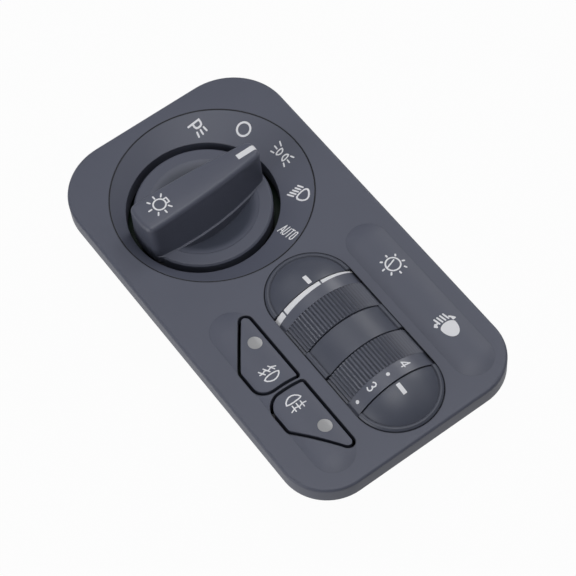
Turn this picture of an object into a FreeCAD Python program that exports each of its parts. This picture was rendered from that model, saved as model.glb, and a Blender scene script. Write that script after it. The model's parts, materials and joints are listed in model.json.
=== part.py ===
# Headlight switch for a dashboard: rotary light knob, two thumbwheels and two fog lamp buttons in one panel.
# Frame: the origin is the middle of the panel's seat plane, where its skirt bears on the dashboard.
# X runs along the panel from the knob to the levelling wheel, Y points up when it is installed and
# Z points out of the face, towards the driver. All sizes are in millimetres.
import FreeCAD, Part
import math
import os
import re

import Sketcher
from FreeCAD import Placement, Rotation, Vector

doc = FreeCAD.newDocument("HeadlightSwitch")

# Driving sizes: alias, value, what it is
SIZES = [
    ("panel_length", 120.0, "panel outline along X"),
    ("panel_width", 65.0, "panel outline along Y"),
    ("face_height", 5.0, "flat face above the seat plane"),
    ("panel_wall", 2.2, "thickness of the panel's face"),
    ("skirt_wall", 2.0, "thickness of the panel's skirt"),
    ("corner_left", 16.5, "outline radius at the knob end"),
    ("corner_right", 13.0, "outline radius at the wheel end"),
    ("face_edge_radius", 0.8, "rounding of the face's edge"),
    ("dial_x", -29.1, "middle of the dial along X"),
    ("dial_radius", 26.8, "outer edge of the dished dial"),
    ("dial_depth", 3.25, "depth of the dish at the knob"),
    ("bowl_wall", 1.5, "wall behind the dish"),
    ("knob_offset", 3.2, "knob axis below the middle of the dial"),
    ("well_radius", 20.2, "round opening for the knob"),
    ("ring_groove", 0.3, "half width and depth of the fine groove round the dial"),
    ("well_wall", 1.5, "wall of the collar round the knob"),
    ("well_drop", 3.0, "collar's reach below the seat plane"),
    ("pad_x", 28.9, "middle of the raised pads and of the web between the buttons"),
    ("pad_length", 53.2, "raised pad along X"),
    ("pad_half", 5.6, "half the width of a raised pad"),
    ("pad_rise", 1.0, "crown of a raised pad over the face"),
    ("symbol_pad_edge", 9.85, "middle of the symbol pad in from the panel's upper side"),
    ("fog_pad_edge", 12.6, "middle of the fog lamp pad in from the panel's lower side"),
    ("boss_radius", 2.6, "screw boss outside"),
    ("boss_split", 3.0, "where the panel's bosses meet the housing's, below the seat"),
    ("boss_end_left", 17.0, "left bosses in from the panel's knob end"),
    ("boss_end_right", 12.0, "right bosses in from the panel's wheel end"),
    ("boss_side", 9.3, "left and middle bosses in from the panel's long sides"),
    ("boss_side_right", 9.6, "right bosses in from the panel's long sides"),
    ("boss_mid", 1.0, "middle bosses from the middle along X"),
    ("screw_radius", 1.1, "shank of the small screws"),
    ("screw_head_radius", 2.0, "head of the small screws"),
    ("screw_head", 1.4, "height of a small screw's head"),
    ("hole_gap", 0.2, "clearance round a screw shank"),
    ("wheel_radius", 15.8, "tips of a thumbwheel's ribs"),
    ("wheel_rise", 4.7, "crown of a thumbwheel over the face"),
    ("wheel_y", 2.4, "thumbwheel axis along Y"),
    ("wheel_width", 12.4, "thumbwheel along its axis"),
    ("dimmer_x", 18.0, "middle of the dimmer wheel"),
    ("level_x", 39.5, "middle of the levelling wheel"),
    ("rib_count", 98, "ribs round a thumbwheel"),
    ("rib_depth", 0.5, "depth of the grooves between ribs"),
    ("band_width", 4.2, "plain band beside the ribs"),
    ("band_drop", 0.2, "plain band below the rib tips"),
    ("cup_radius", 13.2, "hollow inside a thumbwheel"),
    ("web_wall", 1.6, "thumbwheel's end wall"),
    ("web_inset", 2.6, "end wall's distance in from the rim"),
    ("hub_radius", 4.5, "thumbwheel hub"),
    ("hub_inset", 0.4, "hub's end in from the open rim"),
    ("axle_radius", 2.0, "steel axle of both wheels"),
    ("running_gap", 0.05, "clearance round a turning shaft"),
    ("wheel_side_gap", 0.35, "clearance beside a thumbwheel"),
    ("wheel_gap", 0.5, "clearance round a thumbwheel"),
    ("capsule_x", 28.4, "middle of the wheel surround along X"),
    ("capsule_length", 58.0, "wheel surround outside the bead"),
    ("capsule_half", 11.8, "half the surround's width outside the bead"),
    ("cap_drop", 0.3, "domed caps below the rib tips"),
    ("bead_width", 1.45, "bead round the surround"),
    ("bead_rise", 0.6, "bead over the face"),
    ("surround_wall", 1.6, "wall of the domed caps"),
    ("surround_gap", 0.2, "joint between the surround and the panel"),
    ("flange_half", 15.9, "half the width of the surround's flange"),
    ("flange_wall", 1.0, "thickness of the surround's flange"),
    ("flange_end", 5.3, "flange's end in from the surround's outer end"),
    ("button_edge", 7.2, "lower line of the fog buttons in from the panel's lower side"),
    ("button_height", 11.35, "fog buttons along Y, gap included"),
    ("button_tip", 25.9, "sharp outer corner from the web's middle"),
    ("button_toe", 10.2, "lower outer corner from the web's middle"),
    ("web_half", 0.72, "half the web, to the middle of the gap"),
    ("button_gap", 0.8, "gap between a fog button and the panel"),
    ("button_wall", 1.5, "thickness of a fog button's top"),
    ("button_skirt", 4.6, "fog button's reach below the face"),
    ("tip_radius", 1.6, "rounding of the button's tip"),
    ("toe_radius", 2.2, "rounding of the button's toe"),
    ("heel_radius", 4.0, "rounding of the button's lower inner corner"),
    ("brow_radius", 0.7, "rounding of the button's upper inner corner"),
    ("button_travel", 1.0, "travel of a fog button"),
    ("lens_radius", 1.85, "indicator window"),
    ("lens_offset", 14.5, "indicator window from the web's middle"),
    ("lens_edge", 15.15, "indicator window in from the panel's lower side"),
    ("plunger_offset", 8.0, "fog button plunger from the web's middle"),
    ("plunger_radius", 1.7, "plunger of a fog button"),
    ("tact_side", 6.2, "push switch body, side"),
    ("tact_height", 3.5, "push switch body, height"),
    ("knob_gap", 1.9, "open ring between the knob and its well"),
    ("knob_rim_drop", 3.0, "knob rim below the face"),
    ("knob_rim_width", 3.6, "flat band round the finger scoops"),
    ("knob_floor_drop", 4.5, "floor of the scoops below the face"),
    ("scoop_slope", 2.2, "width of the slope from the band down to the scoops' floor"),
    ("knob_wall", 1.6, "skirt wall of the knob"),
    ("knob_skirt", 2.4, "skirt's reach below the seat plane"),
    ("bar_height", 8.3, "top of the grip bar over the face"),
    ("bar_top_tail", 5.05, "half width of the bar's top at its tail"),
    ("bar_top_waist", 4.5, "half width of the bar's top at its middle"),
    ("bar_top_nose", 2.75, "half width of the bar's top at its nose"),
    ("bar_foot_tail", 5.9, "half width of the bar's foot at its tail"),
    ("bar_foot_waist", 6.65, "half width of the bar's foot at its middle"),
    ("bar_foot_nose", 2.9, "half width of the bar's foot at its nose"),
    ("bar_inset", 0.4, "bar's nose in from the knob's outside"),
    ("bar_overhang", 0.7, "bar's tail out over the open ring"),
    ("bar_corner", 2.0, "upright corners of the bar"),
    ("bar_edge", 1.2, "rounding of the bar's top"),
    ("bar_ledge", 0.6, "flat ledge round the bar's foot, above the scoops"),
    ("pointer_width", 1.6, "white pointer across"),
    ("pointer_length", 6.2, "white pointer along the bar"),
    ("pointer_depth", 1.4, "depth of the pointer's slot"),
    ("spindle_radius", 4.0, "knob spindle"),
    ("socket_radius", 6.0, "knob's socket for the spindle"),
    ("tray_inset", 6.0, "housing's tray in from the panel's ends"),
    ("tray_inset_y", 4.5, "housing's tray in from the panel's long sides"),
    ("housing_wall", 1.6, "housing wall"),
    ("tray_drop", 11.0, "underside of the tray below the seat"),
    ("housing_drop", 24.0, "back of the housing below the seat"),
    ("deep_end_left", 11.0, "deep box in from the panel's knob end"),
    ("deep_end_right", 12.4, "deep box in from the panel's wheel end"),
    ("deep_side", 12.1, "deep box in from the panel's long sides"),
    ("deep_corner", 4.0, "corner radius of the deep box"),
    ("rebate", 0.7, "step that the back cover sits in"),
    ("cover_wall", 1.6, "back cover"),
    ("cover_gap", 0.1, "clearance round the back cover"),
    ("pillar_radius", 2.4, "corner pillars of the deep box"),
    ("pillar_height", 5.4, "corner pillars above the cover's ledge"),
    ("board_wall", 1.6, "circuit board"),
    ("board_gap", 0.5, "clearance round the circuit board"),
    ("bracket_wall", 5.4, "wheel bracket along the axle"),
    ("track_wall", 0.7, "resistance track discs"),
    ("track_radius", 8.5, "resistance track discs, outside"),
    ("clip_wall", 0.6, "retaining clips on the axle"),
    ("clip_radius", 3.4, "retaining clips on the axle, outside"),
    ("switch_cup_radius", 15.2, "rotary switch cup, outside"),
    ("switch_cup_wall", 1.5, "rotary switch cup, wall"),
    ("switch_cup_drop", 20.0, "bottom of the rotary switch cup below the seat"),
    ("switch_flange_radius", 18.0, "flange of the rotary switch"),
    ("switch_flange", 1.5, "flange of the rotary switch, thickness"),
    ("rotor_radius", 12.3, "rotor of the rotary switch"),
    ("rotor_drop", 13.2, "rotor's underside below the seat"),
    ("wiper_root", 6.3, "rotor wipers' fixed end from the knob axis"),
    ("wiper_tip", 11.3, "rotor wipers' contact from the knob axis"),
    ("guide_width", 2.8, "dial light guide across its ring"),
    ("guide_left", 10.5, "symbol light guide's left end from the middle"),
    ("guide_right", 44.0, "symbol light guide's right end from the middle"),
    ("dial_lamp_radius", 24.3, "dial lamps from the knob axis"),
    ("detent_gap", 0.35, "clearance between a detent spring and its notches"),
    ("plug_length", 22.0, "connector housing along X"),
    ("plug_width", 11.0, "connector housing along Y"),
    ("plug_x", -1.0, "connector along X"),
    ("plug_y", 1.0, "connector along Y"),
    ("plug_wall", 1.4, "connector housing wall"),
    ("plug_depth", 10.0, "socket depth"),
    ("pin_depth", 4.4, "pin tips inside the socket's mouth"),
    ("pin_side", 0.7, "connector pin, side"),
    ("pin_pitch", 3.0, "connector pin pitch"),
    ("pin_pairs", 6, "connector pins in a row"),
]

# Places that follow from the driving sizes
DERIVED = {
    "knob_y": "-knob_offset",
    "knob_radius": "well_radius - knob_gap",
    "symbol_pad_y": "panel_width / 2 - symbol_pad_edge",
    "fog_pad_y": "fog_pad_edge - panel_width / 2",
    "boss_left": "panel_length / 2 - boss_end_left",
    "boss_right": "panel_length / 2 - boss_end_right",
    "boss_left_y": "panel_width / 2 - boss_side",
    "boss_mid_y": "panel_width / 2 - boss_side",
    "boss_right_y": "panel_width / 2 - boss_side_right",
    "button_foot": "panel_width / 2 - button_edge",
    "button_top": "button_foot - button_height",
    "lens_y": "lens_edge - panel_width / 2",
    "deep_left": "panel_length / 2 - deep_end_left",
    "deep_right": "panel_length / 2 - deep_end_right",
    "deep_low": "panel_width / 2 - deep_side",
    "deep_high": "panel_width / 2 - deep_side",
    "plate_z": "face_height - panel_wall",
    "dish_z": "face_height - dial_depth",
    "bowl_z": "dish_z - bowl_wall",
    "wheel_z": "face_height + wheel_rise - wheel_radius",
    "cap_radius": "wheel_radius - cap_drop",
    "capsule_shift": "capsule_length / 2 - capsule_half",
    "bead_inner": "capsule_half - bead_width",
    "pad_radius": "(pad_half * pad_half + pad_rise * pad_rise) / (2 * pad_rise)",
    "pad_shift": "pad_length / 2 - pad_half",
    "pad_axis_z": "face_height + pad_rise - pad_radius",
    "tray_z": "-tray_drop",
    "board_z": "housing_wall - tray_drop",
    "board_top": "board_z + board_wall",
    "back_z": "-housing_drop",
    "ledge_z": "cover_wall - housing_drop",
    "tray_end": "panel_length / 2 - tray_inset",
    "tray_side": "panel_width / 2 - tray_inset_y",
    "bar_top": "face_height + bar_height",
    "knob_rim_z": "face_height - knob_rim_drop",
    "knob_floor_z": "face_height - knob_floor_drop",
    "bracket_x": "(dimmer_x + level_x) / 2",
    "wheel_half": "wheel_width / 2",
    "spring_lean": "(button_foot - button_top) / (button_tip - button_toe)",
    "half_lean": "(sqrt(1 + spring_lean * spring_lean) - 1) / spring_lean",
    "shaft_bore": "axle_radius + running_gap",
}

sheet = doc.addObject("Spreadsheet::Sheet", "Sizes")
for row, (alias, value, note) in enumerate(SIZES, 1):
    sheet.set(f"A{row}", alias)
    sheet.set(f"B{row}", str(value))
    sheet.setAlias(f"B{row}", alias)
    sheet.set(f"C{row}", note)
doc.recompute()
ALIASES = {alias for alias, value, note in SIZES}
NODES = {}


def linked(formula):
    """Turn a formula in plain names into one that reads the sheet's cells."""
    def cell(match):
        word = match.group(0)
        if word in DERIVED:
            return "(" + linked(DERIVED[word]) + ")"
        return "Sizes." + word if word in ALIASES else word
    return re.sub(r"[a-z_]+", cell, str(formula))


def size(formula):
    """The present value of a formula."""
    return float(sheet.evalExpression(linked(formula)))


def bind(item, **formulas):
    """Tie properties of an object to formulas; a double underscore stands for a dot."""
    for name, formula in formulas.items():
        item.setExpression(name.replace("__", "."), linked(formula))
    return item


def make(kind, name, **formulas):
    return bind(doc.addObject(kind, name), **formulas)


def box(name, x0, x1, y0, y1, z0, z1):
    """A block between two planes on each axis."""
    return make("Part::Box", name, Length=f"({x1}) - ({x0})", Width=f"({y1}) - ({y0})", Height=f"({z1}) - ({z0})",
                Placement__Base__x=x0, Placement__Base__y=y0, Placement__Base__z=z0)


def rod(name, radius, x, y, z, length, axis="z"):
    """A cylinder that starts at a point and runs along an axis."""
    item = make("Part::Cylinder", name, Radius=radius, Height=length)
    turn = {"z": Rotation(), "x": Rotation(Vector(0, 1, 0), 90), "y": Rotation(Vector(1, 0, 0), -90)}[axis]
    item.Placement = Placement(Vector(), turn)
    return bind(item, Placement__Base__x=x, Placement__Base__y=y, Placement__Base__z=z)


def ball(name, radius, x, y, z):
    return make("Part::Sphere", name, Radius=radius,
                Placement__Base__x=x, Placement__Base__y=y, Placement__Base__z=z)


def fuse(name, parts):
    item = doc.addObject("Part::MultiFuse", name)
    item.Shapes = parts
    item.Refine = True
    return item


def cut(name, base, tools):
    item = doc.addObject("Part::Cut", name)
    item.Base = base
    item.Tool = tools[0] if len(tools) == 1 else fuse(name + "Tools", tools)
    item.Refine = True
    return item


def common(name, base, tool):
    item = doc.addObject("Part::Common", name)
    item.Base = base
    item.Tool = tool
    item.Refine = True
    return item


def group(name, parts):
    """Separate like pieces that share one node."""
    item = doc.addObject("Part::Compound", name)
    item.Links = parts
    return item


def round_edges(name, base, radius, chosen, kind="Fillet"):
    """Round or chamfer the edges of a shape that a test picks out."""
    doc.recompute()
    item = doc.addObject("Part::" + kind, name)
    item.Base = base
    blend = size(radius)
    item.Edges = [(i, blend, blend) for i, edge in enumerate(base.Shape.Edges, 1) if chosen(edge)]
    return item


def upright(edge):
    """True for a straight edge along Z."""
    if not isinstance(edge.Curve, Part.Line):
        return False
    return abs(edge.tangentAt(edge.FirstParameter).z) > 0.999


def slab(name, x0, x1, y0, y1, z0, z1, left, right=None):
    """A plate with one corner radius at its left end and one at its right end."""
    block = box(name + "Block", x0, x1, y0, y1, z0, z1)
    middle = size(f"(({x0}) + ({x1})) / 2")
    half = round_edges(name + "Left", block, left, lambda e: upright(e) and e.CenterOfMass.x < middle)
    return round_edges(name, half, right or left, lambda e: upright(e) and e.CenterOfMass.x > middle
                       and e.BoundBox.XMax > size(x1) - 1e-6)


def stadium(name, x, shift, y, half, z0, z1):
    """A plate with round ends: two discs and the block between them."""
    tall = f"({z1}) - ({z0})"
    middle = box(name + "Block", f"{x} - ({shift})", f"{x} + ({shift})", f"{y} - ({half})", f"{y} + ({half})", z0, z1)
    ends = [rod(name + side, half, f"{x} {sign} ({shift})", y, z0, tall) for side, sign in (("L", "-"), ("R", "+"))]
    return fuse(name, [middle] + ends)


def capsule(name, radius, x, shift, y, z):
    """A cylinder along X with ball ends."""
    body = rod(name + "Rod", radius, f"{x} - ({shift})", y, z, f"2 * ({shift})", "x")
    ends = [ball(name + side, radius, f"{x} {sign} ({shift})", y, z) for side, sign in (("L", "-"), ("R", "+"))]
    return fuse(name, [body] + ends)


def node(name, item):
    """Give a finished piece the name that its file takes."""
    item.Label = name
    NODES[name] = item
    return item


def body_plane(body, role):
    return next(item for item in body.Origin.OriginFeatures if item.Role == role)


def sketch(body, name, x="0", y="0", z="0", plane="XY_Plane"):
    """An empty sketch on one of the body's own planes, shifted by formulas in the plane's directions."""
    item = body.newObject("Sketcher::SketchObject", name)
    item.AttachmentSupport = (body_plane(body, plane), [""])
    item.MapMode = "FlatFace"
    return bind(item, AttachmentOffset__Base__x=x, AttachmentOffset__Base__y=y, AttachmentOffset__Base__z=z)


def fix(item, kind, *where, to):
    """A sketch dimension that follows a formula."""
    index = item.addConstraint(Sketcher.Constraint(kind, *where, size(to)))
    item.setExpression(f"Constraints[{index}]", linked(to))


def draw_circle(item, radius):
    item.addGeometry(Part.Circle(Vector(), Vector(0, 0, 1), size(radius)), False)
    item.addConstraint(Sketcher.Constraint("Coincident", 0, 3, -1, 1))
    fix(item, "Radius", 0, to=radius)
    return item


def draw_polygon(item, points):
    """A closed outline whose corners follow formulas."""
    places = [Vector(size(x), size(y), 0) for x, y in points]
    for i, place in enumerate(places):
        item.addGeometry(Part.LineSegment(place, places[(i + 1) % len(places)]), False)
    for i, (x, y) in enumerate(points):
        item.addConstraint(Sketcher.Constraint("Coincident", i, 2, (i + 1) % len(points), 1))
        fix(item, "DistanceX", -1, 1, i, 1, to=x)
        fix(item, "DistanceY", -1, 1, i, 1, to=y)
    return item


def draw_rectangle(item, length, width):
    corners = [(-1, -1), (1, -1), (1, 1), (-1, 1)]
    return draw_polygon(item, [(f"{sx} * ({length}) / 2", f"{sy} * ({width}) / 2") for sx, sy in corners])


def draw_rounded(item, half_x, half_y, left, right):
    """A rectangle with rounded corners, one radius at each end: lines first, then the arcs that join them."""
    lines = [((f"-({half_x}) + {left}", f"-({half_y})"), (f"{half_x} - ({right})", f"-({half_y})")),
             ((half_x, f"-({half_y}) + {right}"), (half_x, f"{half_y} - ({right})")),
             ((f"{half_x} - ({right})", half_y), (f"-({half_x}) + {left}", half_y)),
             ((f"-({half_x})", f"{half_y} - ({left})"), (f"-({half_x})", f"-({half_y}) + {left}"))]
    for i, ends in enumerate(lines):
        item.addGeometry(Part.LineSegment(*[Vector(size(x), size(y), 0) for x, y in ends]), False)
        for point, (x, y) in enumerate(ends, 1):
            fix(item, "DistanceX", -1, 1, i, point, to=x)
            fix(item, "DistanceY", -1, 1, i, point, to=y)
    centres = [(1, -1, right), (1, 1, right), (-1, 1, left), (-1, -1, left)]
    for i, (sx, sy, radius) in enumerate(centres):
        centre = Vector(size(f"{sx} * ({half_x} - ({radius}))"), size(f"{sy} * ({half_y} - ({radius}))"), 0)
        circle = Part.Circle(centre, Vector(0, 0, 1), size(radius))
        start = math.radians(90 * i - 90)
        item.addGeometry(Part.ArcOfCircle(circle, start, start + math.pi / 2), False)
        item.addConstraint(Sketcher.Constraint("Coincident", i, 2, 4 + i, 1))
        item.addConstraint(Sketcher.Constraint("Coincident", 4 + i, 2, (i + 1) % 4, 1))
        fix(item, "Radius", 4 + i, to=radius)
    return item


def feature(body, kind, name, profile, **formulas):
    item = body.newObject("PartDesign::" + kind, name)
    item.Profile = profile
    return bind(item, **formulas)


def dress(body, name, radius, chosen):
    """Round the chosen edges of a body's present tip."""
    doc.recompute()
    tip = body.Tip
    item = body.newObject("PartDesign::Fillet", name)
    item.Base = (tip, [f"Edge{i}" for i, edge in enumerate(tip.Shape.Edges, 1) if chosen(edge)])
    return bind(item, Radius=radius)


BOSSES = [("-boss_left", "boss_left_y"), ("-boss_left", "-boss_left_y"), ("boss_mid", "boss_mid_y"),
          ("boss_mid", "-boss_mid_y"), ("boss_right", "boss_right_y"), ("boss_right", "-boss_right_y")]


def wheel_clearance(name, x):
    """The round space that a thumbwheel needs in the pieces beside its slot."""
    side = "(wheel_half + wheel_side_gap)"
    return rod(name, "wheel_radius + wheel_gap", f"{x} - {side}", "wheel_y", "wheel_z", f"2 * {side}", "x")


def button_solid(name, side, grow, z0, z1):
    """A prism on the fog button's outline; grow moves the outline outwards, side is -1 for the front lamp."""
    body = doc.addObject("PartDesign::Body", name)
    inner = f"{side} * (web_half - ({grow}))"
    tip = f"{side} * (button_tip + ({grow}) / half_lean)"
    toe = f"{side} * (button_toe + ({grow}) * half_lean)"
    top = f"({grow}) - button_top"
    foot = f"-button_foot - ({grow})"
    outline = sketch(body, name + "Outline", x="pad_x", z=z0)
    draw_polygon(outline, [(inner, top), (tip, top), (toe, foot), (inner, foot)])
    feature(body, "Pad", name + "Pad", outline, Length=f"({z1}) - ({z0})")
    web = size("pad_x")
    rounds = [("Tip", "tip_radius", tip, top), ("Toe", "toe_radius", toe, foot),
              ("Heel", "heel_radius", inner, foot), ("Brow", "brow_radius", inner, top)]
    for corner, radius, x, y in rounds:
        spot = Vector(web + size(x), size(y), 0)
        dress(body, name + corner, f"max({radius} + ({grow}); 0.3)", lambda e: upright(e)
              and math.hypot(e.CenterOfMass.x - spot.x, e.CenterOfMass.y - spot.y) < 0.01)
    return body


def pillow(name, y):
    """A raised pad: the crown of a capsule that stands out of the face."""
    whole = capsule(name + "Capsule", "pad_radius", "pad_x", "pad_shift", y, "pad_axis_z")
    limit = box(name + "Limit", "0", "panel_length / 2", "-panel_width / 2", "panel_width / 2",
                "face_height - panel_wall / 2", "face_height + 2 * pad_rise")
    return common(name, whole, limit)


# Front panel: a moulded fascia with a skirt, a dished dial and two raised pads
def front_panel():
    body = doc.addObject("PartDesign::Body", "PanelBody")
    outline = draw_rectangle(sketch(body, "PanelOutline"), "panel_length", "panel_width")
    feature(body, "Pad", "PanelPad", outline, Length="face_height")
    dress(body, "PanelLeft", "corner_left", lambda e: upright(e) and e.CenterOfMass.x < 0)
    dress(body, "PanelRight", "corner_right", lambda e: upright(e) and e.CenterOfMass.x > size("panel_length / 2") - 1e-6)
    top = size("face_height")
    dress(body, "PanelEdge", "face_edge_radius", lambda e: abs(e.BoundBox.ZMin - top) < 1e-6)
    inner = draw_rounded(sketch(body, "SkirtInside"), "panel_length / 2 - skirt_wall", "panel_width / 2 - skirt_wall",
                         "corner_left - skirt_wall", "corner_right - skirt_wall")
    hollow = feature(body, "Pocket", "SkirtHollow", inner, Length="plate_z")
    hollow.Reversed = True
    bowl = draw_circle(sketch(body, "BowlCircle", x="dial_x", z="bowl_z"), "dial_radius + bowl_wall")
    feature(body, "Pad", "Bowl", bowl, Length="plate_z + panel_wall / 2 - bowl_z")
    collar = draw_circle(sketch(body, "CollarCircle", x="dial_x", y="knob_y", z="-well_drop"), "well_radius + well_wall")
    feature(body, "Pad", "Collar", collar, Length="bowl_z + bowl_wall / 2 + well_drop")
    rim = draw_circle(sketch(body, "DishRim", x="dial_x", z="face_height"), "dial_radius")
    foot = draw_circle(sketch(body, "DishFoot", x="dial_x", y="knob_y", z="dish_z"), "well_radius")
    dish = feature(body, "SubtractiveLoft", "Dish", rim)
    dish.Sections = [foot]
    nick = draw_polygon(sketch(body, "RingProfile", x="dial_x", plane="XZ_Plane"), [
        ("dial_radius - ring_groove", "face_height + ring_groove"), ("dial_radius", "face_height - ring_groove"),
        ("dial_radius + ring_groove", "face_height + ring_groove")])
    groove = feature(body, "Groove", "RingGroove", nick)
    groove.ReferenceAxis = (nick, ["V_Axis"])
    groove.Angle = 360
    well = draw_circle(sketch(body, "WellCircle", x="dial_x", y="knob_y", z="-well_drop"), "well_radius")
    opening = feature(body, "Pocket", "Well", well, Length="well_drop + face_height")
    opening.Reversed = True
    bosses = [rod(f"PanelBoss{i}", "boss_radius", x, y, "-boss_split", "plate_z + boss_split + panel_wall / 2")
              for i, (x, y) in enumerate(BOSSES)]
    pilots = [rod(f"PanelPilot{i}", "screw_radius", x, y, "-boss_split", "plate_z + boss_split")
              for i, (x, y) in enumerate(BOSSES)]
    whole = fuse("PanelWhole", [body, pillow("SymbolPad", "symbol_pad_y"), pillow("FogPad", "fog_pad_y")] + bosses)
    mouth = stadium("PanelMouth", "capsule_x", "capsule_shift", "wheel_y", "capsule_half + surround_gap",
                    "0", "face_height + pad_rise")
    openings = [button_solid(f"ButtonHole{name}", side, "button_gap / 2", "-1", "face_height + 2 * pad_rise")
                for name, side in (("Front", -1), ("Rear", 1))]
    wheels = [wheel_clearance("PanelClearDimmer", "dimmer_x"), wheel_clearance("PanelClearLevel", "level_x")]
    return node("front_panel", cut("FrontPanel", whole, [mouth] + openings + wheels + pilots))


# Wheel surround: domed caps, the bridge between the wheels, a bead all round and a flange behind the panel
def wheel_surround():
    middle = ("capsule_x", "capsule_shift", "wheel_y")
    outer = capsule("CapOuter", "cap_radius", *middle, "wheel_z")
    inner = capsule("CapInner", "cap_radius - surround_wall", *middle, "wheel_z")
    shell = cut("CapShell", outer, [inner])
    keep = stadium("CapKeep", *middle, "bead_inner + bead_width / 2", "plate_z", "face_height + 2 * wheel_rise")
    caps = common("Caps", shell, keep)
    bead = cut("Bead", stadium("BeadOuter", *middle, "capsule_half", "plate_z - flange_wall", "face_height + bead_rise"),
               [stadium("BeadInner", *middle, "bead_inner", "plate_z - 2 * flange_wall", "face_height + 2 * bead_rise")])
    top = size("face_height + bead_rise")
    bead = round_edges("BeadEdges", bead, "bead_width / 3", lambda e: abs(e.BoundBox.ZMin - top) < 1e-6, "Chamfer")
    flange = cut("Flange", stadium("FlangeOuter", *middle, "flange_half", "plate_z - flange_wall", "plate_z"),
                 [stadium("FlangeInner", *middle, "bead_inner", "plate_z - 2 * flange_wall", "plate_z + flange_wall")])
    reach = box("FlangeReach", "capsule_x - capsule_length / 2", "capsule_x + capsule_length / 2 - flange_end",
                "-button_top + button_gap / 2", "panel_width / 2", "plate_z - 2 * flange_wall", "plate_z + flange_wall")
    whole = fuse("SurroundWhole", [caps, bead, common("FlangeKept", flange, reach)])
    tools = []
    for name, x in (("Dimmer", "dimmer_x"), ("Level", "level_x")):
        side = "(wheel_half + wheel_side_gap)"
        tools.append(box(f"Slot{name}", f"{x} - {side}", f"{x} + {side}", "wheel_y - flange_half", "wheel_y + flange_half",
                         "plate_z", "face_height + 2 * wheel_rise"))
        tools.append(wheel_clearance(f"SurroundClear{name}", x))
    return node("wheel_surround", cut("WheelSurround", whole, tools))


def ribbed_ring(name, x0, x1):
    """A toothed disc: ribs with sloping sides, drawn round the wheel axis."""
    count = int(size("rib_count"))
    tip, root = size("wheel_radius"), size("wheel_radius - rib_depth")
    centre = Vector(size(x0), size("wheel_y"), size("wheel_z"))
    corners = []
    for i in range(2 * count):
        angle = math.pi * i / count
        radius = tip if i % 2 == 0 else root
        corners.append(centre + Vector(0, radius * math.sin(angle), radius * math.cos(angle)))
    face = Part.Face(Part.makePolygon(corners + corners[:1]))
    item = doc.addObject("Part::Feature", name)
    item.Shape = face.extrude(Vector(size(f"({x1}) - ({x0})"), 0, 0))
    return item


# Thumbwheels: ribbed cups on hubs; side is -1 where the plain band lies at the knob end
def thumbwheel(label, name, x, side):
    half = "wheel_half"
    outer_end = f"{x} + {side} * {half}"
    band_end = f"{x} + {side} * ({half} - band_width)"
    inner_end = f"{x} - {side} * {half}"
    low, high = (outer_end, band_end) if side < 0 else (band_end, outer_end)
    rib_low, rib_high = (band_end, inner_end) if side < 0 else (inner_end, band_end)
    ribs = ribbed_ring(name + "Ribs", rib_low, rib_high)
    band = rod(name + "Band", "wheel_radius - band_drop", low, "wheel_y", "wheel_z", f"({high}) - ({low})", "x")
    blank = fuse(name + "Blank", [ribs, band])
    web_in = f"{x} + {side} * ({half} - web_inset - web_wall)"
    web_out = f"{x} + {side} * ({half} - web_inset)"
    cup_low, cup_high = (web_in, inner_end) if side < 0 else (inner_end, web_in)
    cup = rod(name + "Cup", "cup_radius", cup_low, "wheel_y", "wheel_z", f"({cup_high}) - ({cup_low})", "x")
    out_low, out_high = (outer_end, web_out) if side < 0 else (web_out, outer_end)
    recess = rod(name + "Recess", "cup_radius", out_low, "wheel_y", "wheel_z", f"({out_high}) - ({out_low})", "x")
    shell = cut(name + "Shell", blank, [cup, recess])
    hub_end = f"{x} - {side} * ({half} - hub_inset)"
    hub_low, hub_high = (web_out, hub_end) if side < 0 else (hub_end, web_out)
    hub = rod(name + "Hub", "hub_radius", hub_low, "wheel_y", "wheel_z", f"({hub_high}) - ({hub_low})", "x")
    bore = rod(name + "Bore", "shaft_bore", f"{x} - wheel_width", "wheel_y", "wheel_z", "2 * wheel_width", "x")
    return node(label, cut(name, fuse(name + "Solid", [shell, hub]), [bore]))


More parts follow.
